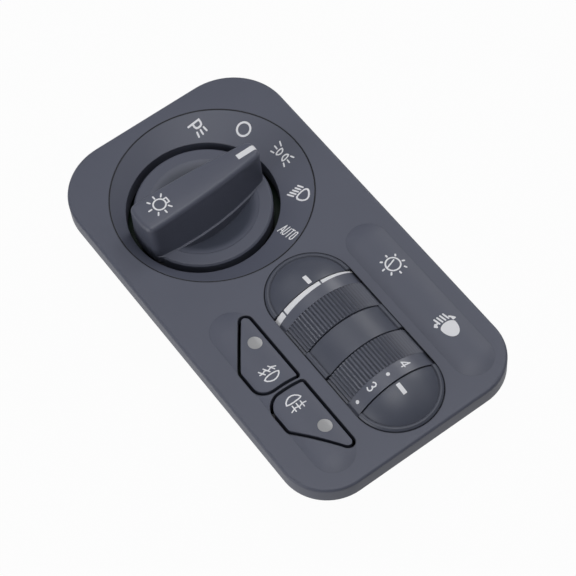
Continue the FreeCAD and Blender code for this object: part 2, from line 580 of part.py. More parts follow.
def wheel_works():
    """What carries the thumbwheels and reads their position."""
    foot = "board_top"
    half = "bracket_wall / 2"
    block = box("BracketBlock", f"bracket_x - {half}", f"bracket_x + {half}", "wheel_y - 7", "wheel_y + 7", foot, "wheel_z + 6")
    rounded = round_edges("BracketRound", block, "3", lambda e: abs(e.BoundBox.ZMin - size("wheel_z + 6")) < 1e-6
                          and e.BoundBox.XLength > 1)
    bore = rod("BracketBore", "axle_radius", f"bracket_x - {half}", "wheel_y", "wheel_z", "bracket_wall", "x")
    pilots = [rod(f"BracketPilot{i}", "screw_radius", "bracket_x", f"wheel_y {s} 5", foot, "4")
              for i, s in enumerate("-+")]
    node("wheel_bracket", cut("WheelBracket", rounded, [bore] + pilots))
    reach = "wheel_half - web_inset + 1.6"
    axle = rod("AxleRod", "axle_radius", f"dimmer_x - ({reach})", "wheel_y", "wheel_z",
               f"level_x - dimmer_x + 2 * ({reach})", "x")
    grooves = []
    clips = []
    for name, place in (("Dimmer", "dimmer_x - (wheel_half - web_inset + 0.1 + clip_wall)"),
                        ("Level", "level_x + wheel_half - web_inset + 0.1")):
        ring = rod(f"Clip{name}Disc", "clip_radius", place, "wheel_y", "wheel_z", "clip_wall", "x")
        groove = rod(f"Groove{name}", "axle_radius + 0.5", place, "wheel_y", "wheel_z", "clip_wall", "x")
        core = rod(f"GrooveCore{name}", "axle_radius - 0.4", place, "wheel_y", "wheel_z", "clip_wall", "x")
        grooves.append(cut(f"GrooveRing{name}", groove, [core]))
        core2 = rod(f"ClipCore{name}", "axle_radius - 0.4", place, "wheel_y", "wheel_z", "clip_wall", "x")
        throat = box(f"ClipThroat{name}", place, f"{place} + clip_wall", "wheel_y - 1.2", "wheel_y + 1.2",
                     "wheel_z", "wheel_z + clip_radius")
        clips.append(cut(f"Clip{name}", ring, [core2, throat]))
    node("wheel_axle", cut("WheelAxle", axle, grooves))
    node("axle_clips", group("AxleClips", clips))
    for label, side in (("dimmer", -1), ("level", 1)):
        near = f"bracket_x + {side} * {half}"
        far = f"bracket_x + {side} * ({half} + track_wall)"
        low = far if side < 0 else near
        disc = rod(f"{label}TrackDisc", "track_radius", low, "wheel_y", "wheel_z", "track_wall", "x")
        hole = rod(f"{label}TrackHole", "axle_radius", low, "wheel_y", "wheel_z", "track_wall", "x")
        flat = box(f"{label}TrackFlat", "0", "panel_length / 2", "wheel_y - 20", "wheel_y + 20", "wheel_z - 20", "board_top")
        node(f"{label}_track", cut(f"{label}Track", disc, [hole, flat]))
        wheel = "dimmer_x" if side < 0 else "level_x"
        hub_end = f"{wheel} - {side} * (wheel_half - hub_inset)"
        ring_low = f"{hub_end} - 0.4" if side < 0 else hub_end
        ring = rod(f"{label}WiperRing", "hub_radius + 1.6", ring_low, "wheel_y", "wheel_z", "0.4", "x")
        hole = rod(f"{label}WiperHole", "hub_radius", ring_low, "wheel_y", "wheel_z", "0.4", "x")
        reach_to = f"{far} + {side} * 0.15"
        finger_low, finger_high = (ring_low, reach_to) if side < 0 else (reach_to, f"{ring_low} + 0.4")
        fingers = [box(f"{label}Finger{i}", finger_low, finger_high, f"wheel_y {s}", f"wheel_y {s} + 0.5",
                       "wheel_z + hub_radius + 0.3", "wheel_z + hub_radius + 1.5")
                   for i, s in enumerate(("- 1.4", "+ 0.9"))]
        node(f"{label}_wiper", fuse(f"{label}Wiper", [cut(f"{label}WiperPlate", ring, [hole])] + fingers))


# Fog lamp buttons: hollow caps with a crowned top, a window and a plunger
def fog_button(label, name, side):
    low = "face_height - button_skirt"
    blank = button_solid(name + "Blank", side, "-button_gap / 2", low, "face_height + 2 * pad_rise")
    crown = capsule(name + "Crown", "pad_radius", "pad_x", "pad_shift", "fog_pad_y", "pad_axis_z")
    shaft = box(name + "Shaft", "0", "panel_length / 2", "-panel_width / 2", "0", "-tray_drop", "face_height - panel_wall / 2")
    outside = common(name + "Outside", blank, fuse(name + "Limit", [crown, shaft]))
    inside = button_solid(name + "Inside", side, "-button_gap / 2 - button_wall", f"{low} - 1", "face_height - button_wall")
    lens_x = f"pad_x + {side} * lens_offset"
    pin_x = f"pad_x + {side} * plunger_offset"
    window = rod(name + "Window", "lens_radius", lens_x, "lens_y", "face_height - 2 * button_wall", "3 * button_wall + pad_rise")
    tube = cut(name + "Tube", rod(name + "TubeOut", "lens_radius + 0.8", lens_x, "lens_y", f"{low} + 1", "button_skirt - 1"),
               [rod(name + "TubeIn", "lens_radius", lens_x, "lens_y", f"{low} + 1", "button_skirt")])
    socket = rod(name + "Socket", "plunger_radius + 1", pin_x, "fog_pad_y", f"{low} + 1", "button_skirt - 1")
    shell = fuse(name + "Shell", [cut(name + "Hollow", outside, [inside, window]), tube, socket])
    seat = rod(name + "Seat", "plunger_radius", pin_x, "fog_pad_y", f"{low}", "button_skirt - button_wall")
    node(label + "_button", cut(name + "Cap", shell, [seat, rod(name + "Clear", "lens_radius", lens_x, "lens_y", low, "2 * button_skirt")]))
    pipe = rod(name + "Pipe", "lens_radius", lens_x, "lens_y", f"{low} + 1", "2 * button_skirt")
    node(label + "_lens", common(name + "Lens", pipe, fuse(name + "LensLimit", [
        capsule(name + "LensCrown", "pad_radius", "pad_x", "pad_shift", "fog_pad_y", "pad_axis_z"),
        box(name + "LensShaft", "0", "panel_length / 2", "-panel_width / 2", "0", "-tray_drop", "face_height - panel_wall / 2")])))
    tip = "board_top + 1.6"
    node(label + "_plunger", rod(name + "Plunger", "plunger_radius", pin_x, "fog_pad_y", tip,
                                 f"face_height - button_wall - ({tip})"))
    side_half = "tact_side / 2"
    base = box(name + "TactBlock", f"{pin_x} - {side_half}", f"{pin_x} + {side_half}", f"fog_pad_y - {side_half}",
               f"fog_pad_y + {side_half}", "board_top", "board_top + tact_height")
    bore = rod(name + "TactBore", "plunger_radius + 0.1", pin_x, "fog_pad_y", "board_top + 0.4", "tact_height")
    node(label + "_tact_switch", cut(name + "Tact", base, [bore]))


# Knob: a turned rim with hollowed scoops, a drafted grip bar across it and a socket underneath
def knob():
    body = doc.addObject("PartDesign::Body", "KnobBody")
    profile = sketch(body, "KnobProfile", x="dial_x", z="knob_offset", plane="XZ_Plane")
    inner = "knob_radius - knob_wall"
    scoop = "knob_radius - knob_rim_width"
    draw_polygon(profile, [
        ("0", "knob_floor_z"), (f"{scoop} - scoop_slope", "knob_floor_z"), (scoop, "knob_rim_z"),
        ("knob_radius - 0.5", "knob_rim_z"), ("knob_radius", "knob_rim_z - 0.5"),
        ("knob_radius", "-knob_skirt"), (inner, "-knob_skirt"), (inner, "knob_floor_z - 1.6"),
        ("socket_radius", "knob_floor_z - 1.6"), ("socket_radius", "-knob_skirt - 1"), ("0", "-knob_skirt - 1")])
    turned = feature(body, "Revolution", "KnobTurned", profile)
    turned.ReferenceAxis = (profile, ["V_Axis"])
    turned.Angle = 360
    top = ("bar_top_tail", "bar_top_waist", "bar_top_nose")
    foot = ("bar_foot_tail", "bar_foot_waist", "bar_foot_nose")
    bar = doc.addObject("Part::Loft", "Bar")
    bar.Sections = [bar_section("BarTop", *top, "bar_top", "-bar_edge"),
                    bar_section("BarEdge", *top, "bar_top - 0.134 * bar_edge", "-0.5 * bar_edge"),
                    bar_section("BarRound", *top, "bar_top - 0.5 * bar_edge", "-0.134 * bar_edge"),
                    bar_section("BarShoulder", *top, "bar_top - bar_edge", "0"),
                    bar_section("BarFoot", *foot, "knob_rim_z", "0"),
                    bar_section("BarRoot", *foot, "knob_floor_z - 1", "0")]
    ledge = doc.addObject("Part::Loft", "Ledge")
    ledge.Sections = [bar_section("LedgeTop", *foot, "knob_rim_z", "bar_ledge", ends="0"),
                      bar_section("LedgeFoot", *foot, "knob_floor_z - 0.5", "bar_ledge + 0.3", ends="0")]
    for loft in (bar, ledge):
        loft.Solid = True
        loft.Ruled = True
    whole = fuse("KnobWhole", [body, ledge, bar])
    slot = box("PointerSlot", "dial_x - pointer_width / 2", "dial_x + pointer_width / 2",
               "knob_y + knob_radius - pointer_length", "knob_y + knob_radius + 1",
               "bar_top - pointer_depth", "bar_top + 1")
    bore = rod("SocketBore", "spindle_radius", "dial_x", "knob_y", "-knob_skirt - 2", "knob_skirt + 2 + knob_floor_z")
    node("knob_pointer", common("KnobPointer", whole, slot))
    node("knob", cut("Knob", whole, [slot, bore]))


def circle_through(a, b, c):
    """Centre and radius of the circle through three points."""
    curve = Part.Arc(a, b, c).toShape().Curve
    return curve.Center, curve.Radius


def meeting(first, first_radius, second, second_radius, near):
    """The crossing of two circles that lies nearer to a point."""
    line = second - first
    gap = line.Length
    along = (gap ** 2 + first_radius ** 2 - second_radius ** 2) / (2 * gap)
    across = math.sqrt(first_radius ** 2 - along ** 2)
    unit = line / gap
    foot = first + unit * along
    side = Vector(-unit.y, unit.x, 0) * across
    return min((foot + side, foot - side), key=lambda point: (point - near).Length)


def bar_section(name, tail, waist, nose, z, grow, ends=None):
    """The grip bar in plan at one height: bowed sides, ends on the knob's circle and rounded corners, in short lines."""
    more = size(grow)
    tail, waist, nose = size(tail) + more, size(waist) + more, size(nose) + more
    over = more if ends is None else size(ends)
    tail_reach, nose_reach = size("knob_radius + bar_overhang") + over, size("knob_radius - bar_inset") + over
    corner = size("bar_corner") + more
    back = math.sqrt(tail_reach ** 2 - tail ** 2)
    front = math.sqrt(nose_reach ** 2 - nose ** 2)
    hub, bow = circle_through(Vector(tail, -back), Vector(waist, 0), Vector(nose, front))
    corners = []
    for spot, reach in ((Vector(tail, -back), tail_reach), (Vector(nose, front), nose_reach)):
        middle = meeting(Vector(), reach - corner, hub, bow - corner, spot)
        on_side = hub + (middle - hub) * (bow / (bow - corner))
        on_end = middle * (reach / (reach - corner))
        bulge = middle + (on_side + on_end - middle * 2).normalize() * corner
        corners.append((on_end, bulge, on_side))
    (tail_end, tail_bulge, tail_side), (nose_end, nose_bulge, nose_side) = corners
    tail_middle = Vector(tail_end.x / 2, -math.sqrt(tail_reach ** 2 - tail_end.x ** 2 / 4))
    nose_middle = Vector(nose_end.x / 2, math.sqrt(nose_reach ** 2 - nose_end.x ** 2 / 4))
    half = []
    for arc, steps in (((Vector(0, -tail_reach), tail_middle, tail_end), 2), ((tail_end, tail_bulge, tail_side), 5),
                       ((tail_side, Vector(waist, 0), nose_side), 6), ((nose_side, nose_bulge, nose_end), 5),
                       ((nose_end, nose_middle, Vector(0, nose_reach)), 1)):
        half += Part.Arc(*arc).toShape().discretize(Number=steps + 1)[:-1]
    half.append(Vector(0, nose_reach))
    ring = half + [Vector(-p.x, p.y, 0) for p in reversed(half[1:-1])]
    lift = Vector(size("dial_x"), size("knob_y"), size(z))
    item = doc.addObject("Part::Feature", name)
    item.Shape = Part.makePolygon([p + lift for p in ring + ring[:1]])
    return item


# Rotary switch under the knob
def rotary_switch():
    at = ("dial_x", "knob_y")
    collar = rod("SpindleCollar", "socket_radius", *at, "board_top + switch_flange - 1.3", "1.2")
    foot = "switch_cup_wall + 0.3 - switch_cup_drop"
    shaft = rod("SpindleShaft", "spindle_radius", *at, foot, f"knob_floor_z - 0.3 - ({foot})")
    flat = box("SpindleFlat", "dial_x + spindle_radius - 0.8", "dial_x + spindle_radius + 1", "knob_y - 5", "knob_y + 5",
               "-knob_skirt - 1", "knob_floor_z")
    node("knob_spindle", cut("KnobSpindle", fuse("SpindleWhole", [collar, shaft]), [flat]))
    cup = cut("CupWall", rod("CupOut", "switch_cup_radius", *at, "-switch_cup_drop", "switch_cup_drop + board_top"),
              [rod("CupIn", "switch_cup_radius - switch_cup_wall", *at, "switch_cup_wall - switch_cup_drop",
                   "switch_cup_drop + board_top")])
    flange = cut("CupFlange", rod("CupFlangeOut", "switch_flange_radius", *at, "board_top", "switch_flange"),
                 [rod("CupFlangeIn", "switch_cup_radius - switch_cup_wall", *at, "board_top", "switch_flange")])
    pivot = rod("CupPivot", "spindle_radius + 1.8", *at, "switch_cup_wall / 2 - switch_cup_drop", "3.2")
    pivot_bore = rod("CupPivotBore", "spindle_radius + running_gap", *at, "switch_cup_wall - switch_cup_drop", "6")
    node("switch_body", cut("SwitchBody", fuse("CupWhole", [cup, flange, pivot]), [pivot_bore]))
    lid_z = "board_top + switch_flange"
    lid = rod("LidDisc", "switch_flange_radius", *at, lid_z, "1.4")
    lid_bore = rod("LidBore", "spindle_radius + running_gap", *at, lid_z, "1.4")
    node("switch_bearing", cut("SwitchBearing", lid, [lid_bore]))
    rotor_z = "-rotor_drop"
    disc = rod("RotorDisc", "rotor_radius", *at, rotor_z, "1.6")
    hub = rod("RotorHub", "socket_radius", *at, f"{rotor_z} - 1", "4.2")
    bore = rod("RotorBore", "spindle_radius", *at, f"{rotor_z} - 2", "8")
    notches = []
    for i in range(12):
        angle = math.radians(30 * i)
        notches.append(rod(f"RotorNotch{i}", "1.2", f"dial_x + (rotor_radius + 0.7) * {math.sin(angle):.9f}",
                           f"knob_y + (rotor_radius + 0.7) * {math.cos(angle):.9f}", rotor_z, "1.6"))
    node("switch_rotor", cut("SwitchRotor", fuse("RotorWhole", [disc, hub]), [bore] + notches))
    wipers = []
    for i in range(3):
        angle = 120 * i
        strip = make("Part::Box", f"Wiper{i}", Length="1.2", Width="wiper_tip - wiper_root + 0.5", Height="0.35")
        strip.Placement = Placement(Vector(size("dial_x"), size("knob_y"), size(f"{rotor_z} - 0.35")),
                                    Rotation(Vector(0, 0, 1), angle)) * Placement(Vector(-0.6, size("wiper_root"), 0), Rotation())
        toe = make("Part::Box", f"WiperToe{i}", Length="1.2", Width="0.5", Height="1.3")
        toe.Placement = Placement(Vector(size("dial_x"), size("knob_y"), size(f"{rotor_z} - 1.3")),
                                  Rotation(Vector(0, 0, 1), angle)) * Placement(Vector(-0.6, size("wiper_tip"), 0), Rotation())
        wipers.append(fuse(f"WiperLeaf{i}", [strip, toe]))
    node("rotor_wipers", group("RotorWipers", wipers))
    plate = rod("ContactDisc", "switch_cup_radius - switch_cup_wall", *at, f"{rotor_z} - 2.6", "1.1")
    hole = rod("ContactHole", "socket_radius + 1", *at, f"{rotor_z} - 2.6", "1.1")
    ring = cut("ContactSeat", rod("ContactSeatOut", "switch_cup_radius - switch_cup_wall", *at,
                                  "switch_cup_wall - switch_cup_drop", f"switch_cup_drop - switch_cup_wall + ({rotor_z} - 2.6)"),
               [rod("ContactSeatIn", "switch_cup_radius - switch_cup_wall - 1.2", *at,
                    "switch_cup_wall - switch_cup_drop", f"switch_cup_drop + ({rotor_z})")])
    node("contact_plate", fuse("ContactPlate", [cut("ContactTop", plate, [hole]), ring]))
    inside = "switch_cup_radius - switch_cup_wall"
    strip = cut("DetentStrip", rod("DetentOut", inside, *at, rotor_z, "1.6"), [rod("DetentIn", f"{inside} - 0.3", *at, rotor_z, "1.6")])
    root = common("DetentRoot", strip, box("DetentPart", "dial_x - 3.5", "dial_x + 3.5", f"knob_y - ({inside})", "knob_y - 10",
                                           rotor_z, f"{rotor_z} + 1.6"))
    nose = rod("DetentNose", "0.45", "dial_x", "knob_y - rotor_radius - detent_gap - 0.45", rotor_z, "1.6")
    node("knob_detent_spring", fuse("KnobDetent", [root, nose]))


# Housing: a shallow tray behind the panel and a deep box for the wheels and the switch
def rear_housing():
    tray = slab("Tray", "-tray_end", "tray_end", "-tray_side", "tray_side", "tray_z", "plate_z", "corner_left - 5.5", "corner_right - 5")
    deep = slab("Deep", "-deep_left", "deep_right", "-deep_low", "deep_high", "back_z", "board_z", "deep_corner")
    wall = "housing_wall"
    tray_in = slab("TrayIn", f"-tray_end + {wall}", f"tray_end - {wall}", f"-tray_side + {wall}", f"tray_side - {wall}",
                   "board_z", "plate_z + 1", f"corner_left - 5.5 - {wall}", f"corner_right - 5 - {wall}")
    deep_in = slab("DeepIn", "-deep_left + housing_wall", "deep_right - 1.5", "-deep_low + 1.5", "deep_high - 1.5",
                   "back_z - 1", "board_z + 1", "deep_corner - 1.5")
    seat = slab("CoverSeat", "-deep_left + housing_wall - rebate", "deep_right - 1.5 + rebate", "-deep_low + 1.5 - rebate",
                "deep_high - 1.5 + rebate", "back_z - 1", "ledge_z", "deep_corner - 1.5 + rebate")
    shell = cut("HousingShell", fuse("HousingOuter", [tray, deep]), [tray_in, deep_in, seat])
    bosses = [rod(f"HousingBoss{i}", "boss_radius", x, y, "tray_z", "tray_drop - boss_split")
              for i, (x, y) in enumerate(BOSSES)]
    pillars = [rod(f"Pillar{i}", "pillar_radius", x, y, "ledge_z", "pillar_height") for i, (x, y) in enumerate(PILLARS)]
    feet = [rod(f"Foot{i}", "boss_radius", x, y, "tray_z - 3", "3 + housing_wall / 2") for i, (x, y) in enumerate(FEET)]
    foot_pilots = [rod(f"FootPilot{i}", "screw_radius", x, y, "tray_z - 2.4", "tray_drop") for i, (x, y) in enumerate(FEET)]
    rooms = [rod("BowlRoom", "dial_radius + bowl_wall + surround_gap", "dial_x", "0", "bowl_z - surround_gap", "face_height"),
             stadium("SurroundRoom", "capsule_x", "capsule_shift", "wheel_y", "capsule_half + 2 * surround_gap",
                     "plate_z - flange_wall - surround_gap", "face_height")]
    clip = "screw_radius + hole_gap"
    holes = [rod(f"HousingHole{i}", clip, x, y, "tray_z - 1", "tray_drop + 1") for i, (x, y) in enumerate(BOSSES)]
    sinks = [rod(f"HousingSink{i}", "screw_head_radius + 0.3", x, y, "tray_z - 1", "1 + screw_head + 1")
             for i, (x, y) in enumerate(BOSSES)]
    pilots = [rod(f"PillarPilot{i}", "screw_radius", x, y, "ledge_z - 1", "pillar_height")
              for i, (x, y) in enumerate(PILLARS)]
    whole = fuse("HousingWhole", [shell] + bosses + pillars + feet)
    return node("rear_housing", cut("RearHousing", whole, holes + sinks + pilots + foot_pilots + rooms))


PILLARS = [("1.8 + housing_wall - deep_left", "3.3 - deep_low"), ("1.8 + housing_wall - deep_left", "deep_high - 3.3"),
           ("deep_right - 3.3", "3.3 - deep_low"), ("deep_right - 3.3", "deep_high - 3.3")]
FEET = [("-25", "9.1 - panel_width / 2"), ("-25", "panel_width / 2 - 9.1"),
        ("pad_x", "8.9 - panel_width / 2"), ("25", "panel_width / 2 - 9.1")]


def back_cover():
    edge = "rebate - cover_gap"
    plate = slab("CoverPlate", f"-deep_left + housing_wall - ({edge})", f"deep_right - 1.5 + ({edge})",
                 f"-deep_low + 1.5 - ({edge})", f"deep_high - 1.5 + ({edge})", "back_z", "ledge_z", "deep_corner - 1")
    plug = box("CoverPlug", "plug_x - plug_length / 2 - 0.2", "plug_x + plug_length / 2 + 0.2",
               "plug_y - plug_width / 2 - 0.2", "plug_y + plug_width / 2 + 0.2", "back_z - 1", "ledge_z + 1")
    holes = [rod(f"CoverHole{i}", "screw_radius + hole_gap", x, y, "back_z - 1", "cover_wall + 2")
             for i, (x, y) in enumerate(PILLARS)]
    sinks = [rod(f"CoverSink{i}", "screw_head_radius + 0.2", x, y, "back_z - 1", "1 + 0.9") for i, (x, y) in enumerate(PILLARS)]
    node("back_cover", cut("BackCover", plate, [plug] + holes + sinks))


def screw(name, x, y, z, length, up=True):
    """A small pan-head screw; z is the face that its head bears on."""
    head_z = f"{z} - screw_head" if up else z
    shank_z = z if up else f"{z} - ({length})"
    head = rod(name + "Head", "screw_head_radius", x, y, head_z, "screw_head")
    shank = rod(name + "Shank", "screw_radius", x, y, shank_z, length)
    return fuse(name, [head, shank])


def fasteners():
    seats = [screw(f"HousingScrew{i}", x, y, "tray_z + screw_head + 1", "tray_drop - screw_head - 1 - boss_split + 4.5")
             for i, (x, y) in enumerate(BOSSES)]
    node("housing_screws", group("HousingScrews", seats))
    lids = []
    for i, (x, y) in enumerate(PILLARS):
        head = rod(f"CoverScrew{i}Head", "screw_head_radius", x, y, "back_z + 0.1", "0.8")
        shank = rod(f"CoverScrew{i}Shank", "screw_radius", x, y, "back_z + 0.9", "pillar_height - 0.6")
        lids.append(fuse(f"CoverScrew{i}", [head, shank]))
    node("cover_screws", group("CoverScrews", lids))
    down = [screw(f"BoardScrew{i}", x, y, "board_top", "board_wall + 3.6", up=False) for i, (x, y) in enumerate(FEET)]
    node("board_screws", group("BoardScrews", down))
    feet = [screw(f"BracketScrew{i}", "bracket_x", f"wheel_y {s} 5", "board_z", "board_wall + 3.5") for i, s in enumerate("-+")]
    node("bracket_screws", group("BracketScrews", feet))


def circuit_board():
    edge = "(housing_wall + board_gap)"
    plate = slab("BoardPlate", f"-tray_end + {edge}", f"tray_end - {edge}", f"-tray_side + {edge}", f"tray_side - {edge}",
                 "board_z", "board_top", f"corner_left - 5.5 - {edge}", f"corner_right - 5 - {edge}")
    tools = [rod(f"BoardBossHole{i}", "boss_radius + 0.4", x, y, "board_z - 1", "board_wall + 2") for i, (x, y) in enumerate(BOSSES)]
    tools += [rod(f"BoardScrewHole{i}", "screw_radius + 0.1", x, y, "board_z - 1", "board_wall + 2")
              for i, (x, y) in enumerate(FEET)]
    tools += [rod(f"BoardFootHole{i}", "screw_radius + 0.1", "bracket_x", f"wheel_y {s} 5", "board_z - 1", "board_wall + 2")
              for i, s in enumerate("-+")]
    tools.append(rod("BoardSwitchHole", "switch_cup_radius + 0.2", "dial_x", "knob_y", "board_z - 1", "board_wall + 2"))
    high = "wheel_radius + 1"
    strip = "(bracket_wall / 2 + 1)"
    tools.append(box("BoardAxleSlot", f"bracket_x - {strip}", f"bracket_x + {strip}", "wheel_y - axle_radius - 0.4",
                     "wheel_y + axle_radius + 0.4", "board_z - 1", "board_top + 1"))
    for name, x0, x1 in (("Dimmer", "dimmer_x - wheel_half - wheel_gap", f"bracket_x - bracket_wall / 2"),
                         ("Level", f"bracket_x + bracket_wall / 2", "level_x + wheel_half + wheel_gap")):
        tools.append(box(f"BoardSlot{name}", x0, x1, f"wheel_y - ({high})", f"wheel_y + ({high})", "board_z - 1", "board_top + 1"))
    tools += pin_boxes("BoardPin", "board_z - 1", "board_top + 1")
    node("circuit_board", cut("CircuitBoard", plate, tools))


def pin_boxes(name, z0, z1):
    """The places of the connector pins: two rows."""
    count = int(size("pin_pairs"))
    pins = []
    for i in range(count):
        for j, row in enumerate(("- 1.6", "+ 1.6")):
            x = f"plug_x + pin_pitch * {i - (count - 1) / 2}"
            y = f"plug_y {row}"
            pins.append(box(f"{name}{i}{j}", f"{x} - pin_side / 2", f"{x} + pin_side / 2", f"{y} - pin_side / 2",
                            f"{y} + pin_side / 2", z0, z1))
    return pins


def connector():
    length, width = "plug_length / 2", "plug_width / 2"
    shell = box("PlugShell", f"plug_x - {length}", f"plug_x + {length}", f"plug_y - {width}", f"plug_y + {width}", "back_z", "board_z")
    mouth = box("PlugMouth", f"plug_x - {length} + plug_wall", f"plug_x + {length} - plug_wall", f"plug_y - {width} + plug_wall",
                f"plug_y + {width} - plug_wall", "back_z - 1", "back_z + plug_depth")
    key = box("PlugKey", "plug_x - 2", "plug_x + 2", f"plug_y + {width} - plug_wall - 0.1", f"plug_y + {width} - plug_wall + 0.7",
              "back_z - 1", "back_z + plug_depth")
    node("connector_header", cut("ConnectorHeader", shell, [mouth, key] + pin_boxes("PlugBore", "back_z + plug_depth - 1", "board_z + 1")))
    node("connector_pins", group("ConnectorPins", pin_boxes("Pin", "back_z + pin_depth", "board_top + 1")))


def lamps_and_guides():
    chips = []
    for i, angle in enumerate((60, 30, 0, -30, -60)):
        x = f"dial_x - {math.sin(math.radians(angle)):.9f} * dial_lamp_radius"
        y = f"knob_y + {math.cos(math.radians(angle)):.9f} * dial_lamp_radius"
        chips.append(box(f"DialLamp{i}", f"{x} - 1.2", f"{x} + 1.2", f"{y} - 1", f"{y} + 1", "board_top", "board_top + 1.1"))
    for i, x in enumerate(("17.6", "40")):
        chips.append(box(f"SymbolLamp{i}", f"{x} - 1.2", f"{x} + 1.2", "symbol_pad_y - 1.45", "symbol_pad_y + 0.55",
                         "board_top", "board_top + 1.1"))
    node("backlight_lamps", group("BacklightLamps", chips))
    eyes = []
    for i, side in enumerate((-1, 1)):
        x = f"pad_x + {side} * lens_offset"
        eyes.append(box(f"EyeLamp{i}", f"{x} - 1", f"{x} + 1", "lens_y - 0.8", "lens_y + 0.8", "board_top", "board_top + 1.1"))
    node("indicator_lamps", group("IndicatorLamps", eyes))
    inside = "well_radius + well_wall + 0.2"
    ring = cut("GuideRing", rod("GuideOut", f"{inside} + guide_width", "dial_x", "knob_y", "bowl_z - 2.4", "2.4"),
               [rod("GuideIn", inside, "dial_x", "knob_y", "bowl_z - 3", "4"),
                box("GuideHalf", "dial_x - 40", "dial_x + 40", "knob_y - 40", "knob_y + 9", "bowl_z - 4", "bowl_z + 1"),
                *[rod(f"GuideBoss{i}", "boss_radius + 0.3", x, y, "bowl_z - 4", "8") for i, (x, y) in enumerate(BOSSES)],
                rod("GuideBowl", "40", "dial_x", "0", "bowl_z", "3")])
    node("dial_light_guide", ring)
    bar = slab("GuideBar", "guide_left", "guide_right", "symbol_pad_y - 2.8", "symbol_pad_y + 2.8", "plate_z - 3.2", "plate_z", "1.5")
    node("symbol_light_guide", bar)


def spring_clips():
    clips = []
    for i, (x, s) in enumerate((("-30", 1), ("25", 1), ("-30", -1), ("25", -1))):
        wall = f"{s} * tray_side"
        plan = [(wall, "-1.5"), (f"{wall} + {s} * 0.5", "-1.5"), (f"{wall} + {s} * 1.9", "-5"), (f"{wall} + {s} * 0.5", "-9.5"),
                (wall, "-9.5"), (wall, "-9"), (f"{wall} + {s} * 0.2", "-9"), (f"{wall} + {s} * 1.4", "-5"), (f"{wall} + {s} * 0.2", "-2"),
                (wall, "-2")]
        body = doc.addObject("PartDesign::Body", f"ClipBody{i}")
        side = draw_polygon(sketch(body, f"ClipSide{i}", z=f"{x} - 4", plane="YZ_Plane"), plan)
        feature(body, "Pad", f"ClipPad{i}", side, Length="8")
        clips.append(body)
    node("spring_clips", group("SpringClips", clips))


front_panel()
wheel_surround()
thumbwheel("dimmer_wheel", "DimmerWheel", "dimmer_x", -1)
thumbwheel("level_wheel", "LevelWheel", "level_x", 1)
wheel_works()
fog_button("front_fog", "FrontFog", -1)
fog_button("rear_fog", "RearFog", 1)
knob()
rotary_switch()
rear_housing()
back_cover()
fasteners()
circuit_board()
connector()
lamps_and_guides()
spring_clips()
doc.recompute()

failed = [item.Name for item in doc.Objects if "Invalid" in item.State or "Error" in item.State]
if failed:
    raise RuntimeError(f"these objects failed: {failed}")
os.makedirs("parts", exist_ok=True)
unsound = [name for name, item in NODES.items()
           if item.Shape.isNull() or not item.Shape.isValid() or not item.Shape.Solids]
if unsound:
    raise RuntimeError(f"these nodes have no valid shape: {unsound}")
for name, item in NODES.items():
    item.Shape.exportStep(f"parts/{name}.step")
    print(f"{name}: {len(item.Shape.Solids)} solids, {item.Shape.Volume:.1f} mm3")
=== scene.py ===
# %% [markdown]
# # Headlight switch
# The switch is a moulded panel with a rotary light knob, two thumbwheels and two fog lamp buttons.
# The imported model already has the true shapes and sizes, so this script dresses them: it smooths the
# mouldings, gives every piece a finish, prints the symbols and sets up a plain studio.

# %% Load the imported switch
import json
import math

import bmesh
import bpy
from mathutils import Matrix, Vector
from mathutils.bvhtree import BVHTree


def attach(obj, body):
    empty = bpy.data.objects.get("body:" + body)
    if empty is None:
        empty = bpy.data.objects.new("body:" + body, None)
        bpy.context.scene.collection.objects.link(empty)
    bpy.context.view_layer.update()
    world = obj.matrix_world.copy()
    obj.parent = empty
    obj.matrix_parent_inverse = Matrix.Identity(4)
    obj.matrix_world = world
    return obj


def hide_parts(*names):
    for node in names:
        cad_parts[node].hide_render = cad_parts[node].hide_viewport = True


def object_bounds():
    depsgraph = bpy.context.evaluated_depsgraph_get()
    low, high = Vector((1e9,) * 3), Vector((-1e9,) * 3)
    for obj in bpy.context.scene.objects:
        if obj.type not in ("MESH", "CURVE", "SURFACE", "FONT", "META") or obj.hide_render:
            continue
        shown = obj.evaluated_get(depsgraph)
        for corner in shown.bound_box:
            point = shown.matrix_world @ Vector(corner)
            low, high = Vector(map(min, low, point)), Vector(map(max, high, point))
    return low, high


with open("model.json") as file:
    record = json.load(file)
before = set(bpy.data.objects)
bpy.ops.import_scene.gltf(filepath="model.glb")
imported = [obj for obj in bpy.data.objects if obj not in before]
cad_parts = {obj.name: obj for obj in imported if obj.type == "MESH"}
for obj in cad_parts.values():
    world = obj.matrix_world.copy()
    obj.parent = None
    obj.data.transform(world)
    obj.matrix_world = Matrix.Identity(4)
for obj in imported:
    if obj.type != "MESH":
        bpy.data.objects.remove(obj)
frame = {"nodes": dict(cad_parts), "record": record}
nodes = frame["nodes"]
box_at_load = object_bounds()
mm = 0.001

# %% [markdown]
# ## The studio
# The photograph looks down on the wheel end from the right, through a long lens, at a part on a white
# ground. The camera could be turned by three angles, but a target, a direction and a roll about the line
# of sight are easier to fit to a picture. They give its three axes: right, up and back.

# %% Camera at the photograph's view
AZIMUTH, ELEVATION, ROLL = math.radians(59.64), math.radians(58.80), math.radians(-6.75)
TARGET, DISTANCE = Vector((6.29, -1.37, 5.0)) * mm, 0.51143
FOCAL_PIXELS, FRAME_PIXELS, SENSOR, NEAREST = 2035.06, 576, 36.0, 0.01


def put_in_scene(name, data):
    """A new object for a mesh, a lamp or a camera, at the origin."""
    item = bpy.data.objects.new(name, data)
    bpy.context.scene.collection.objects.link(item)
    return item


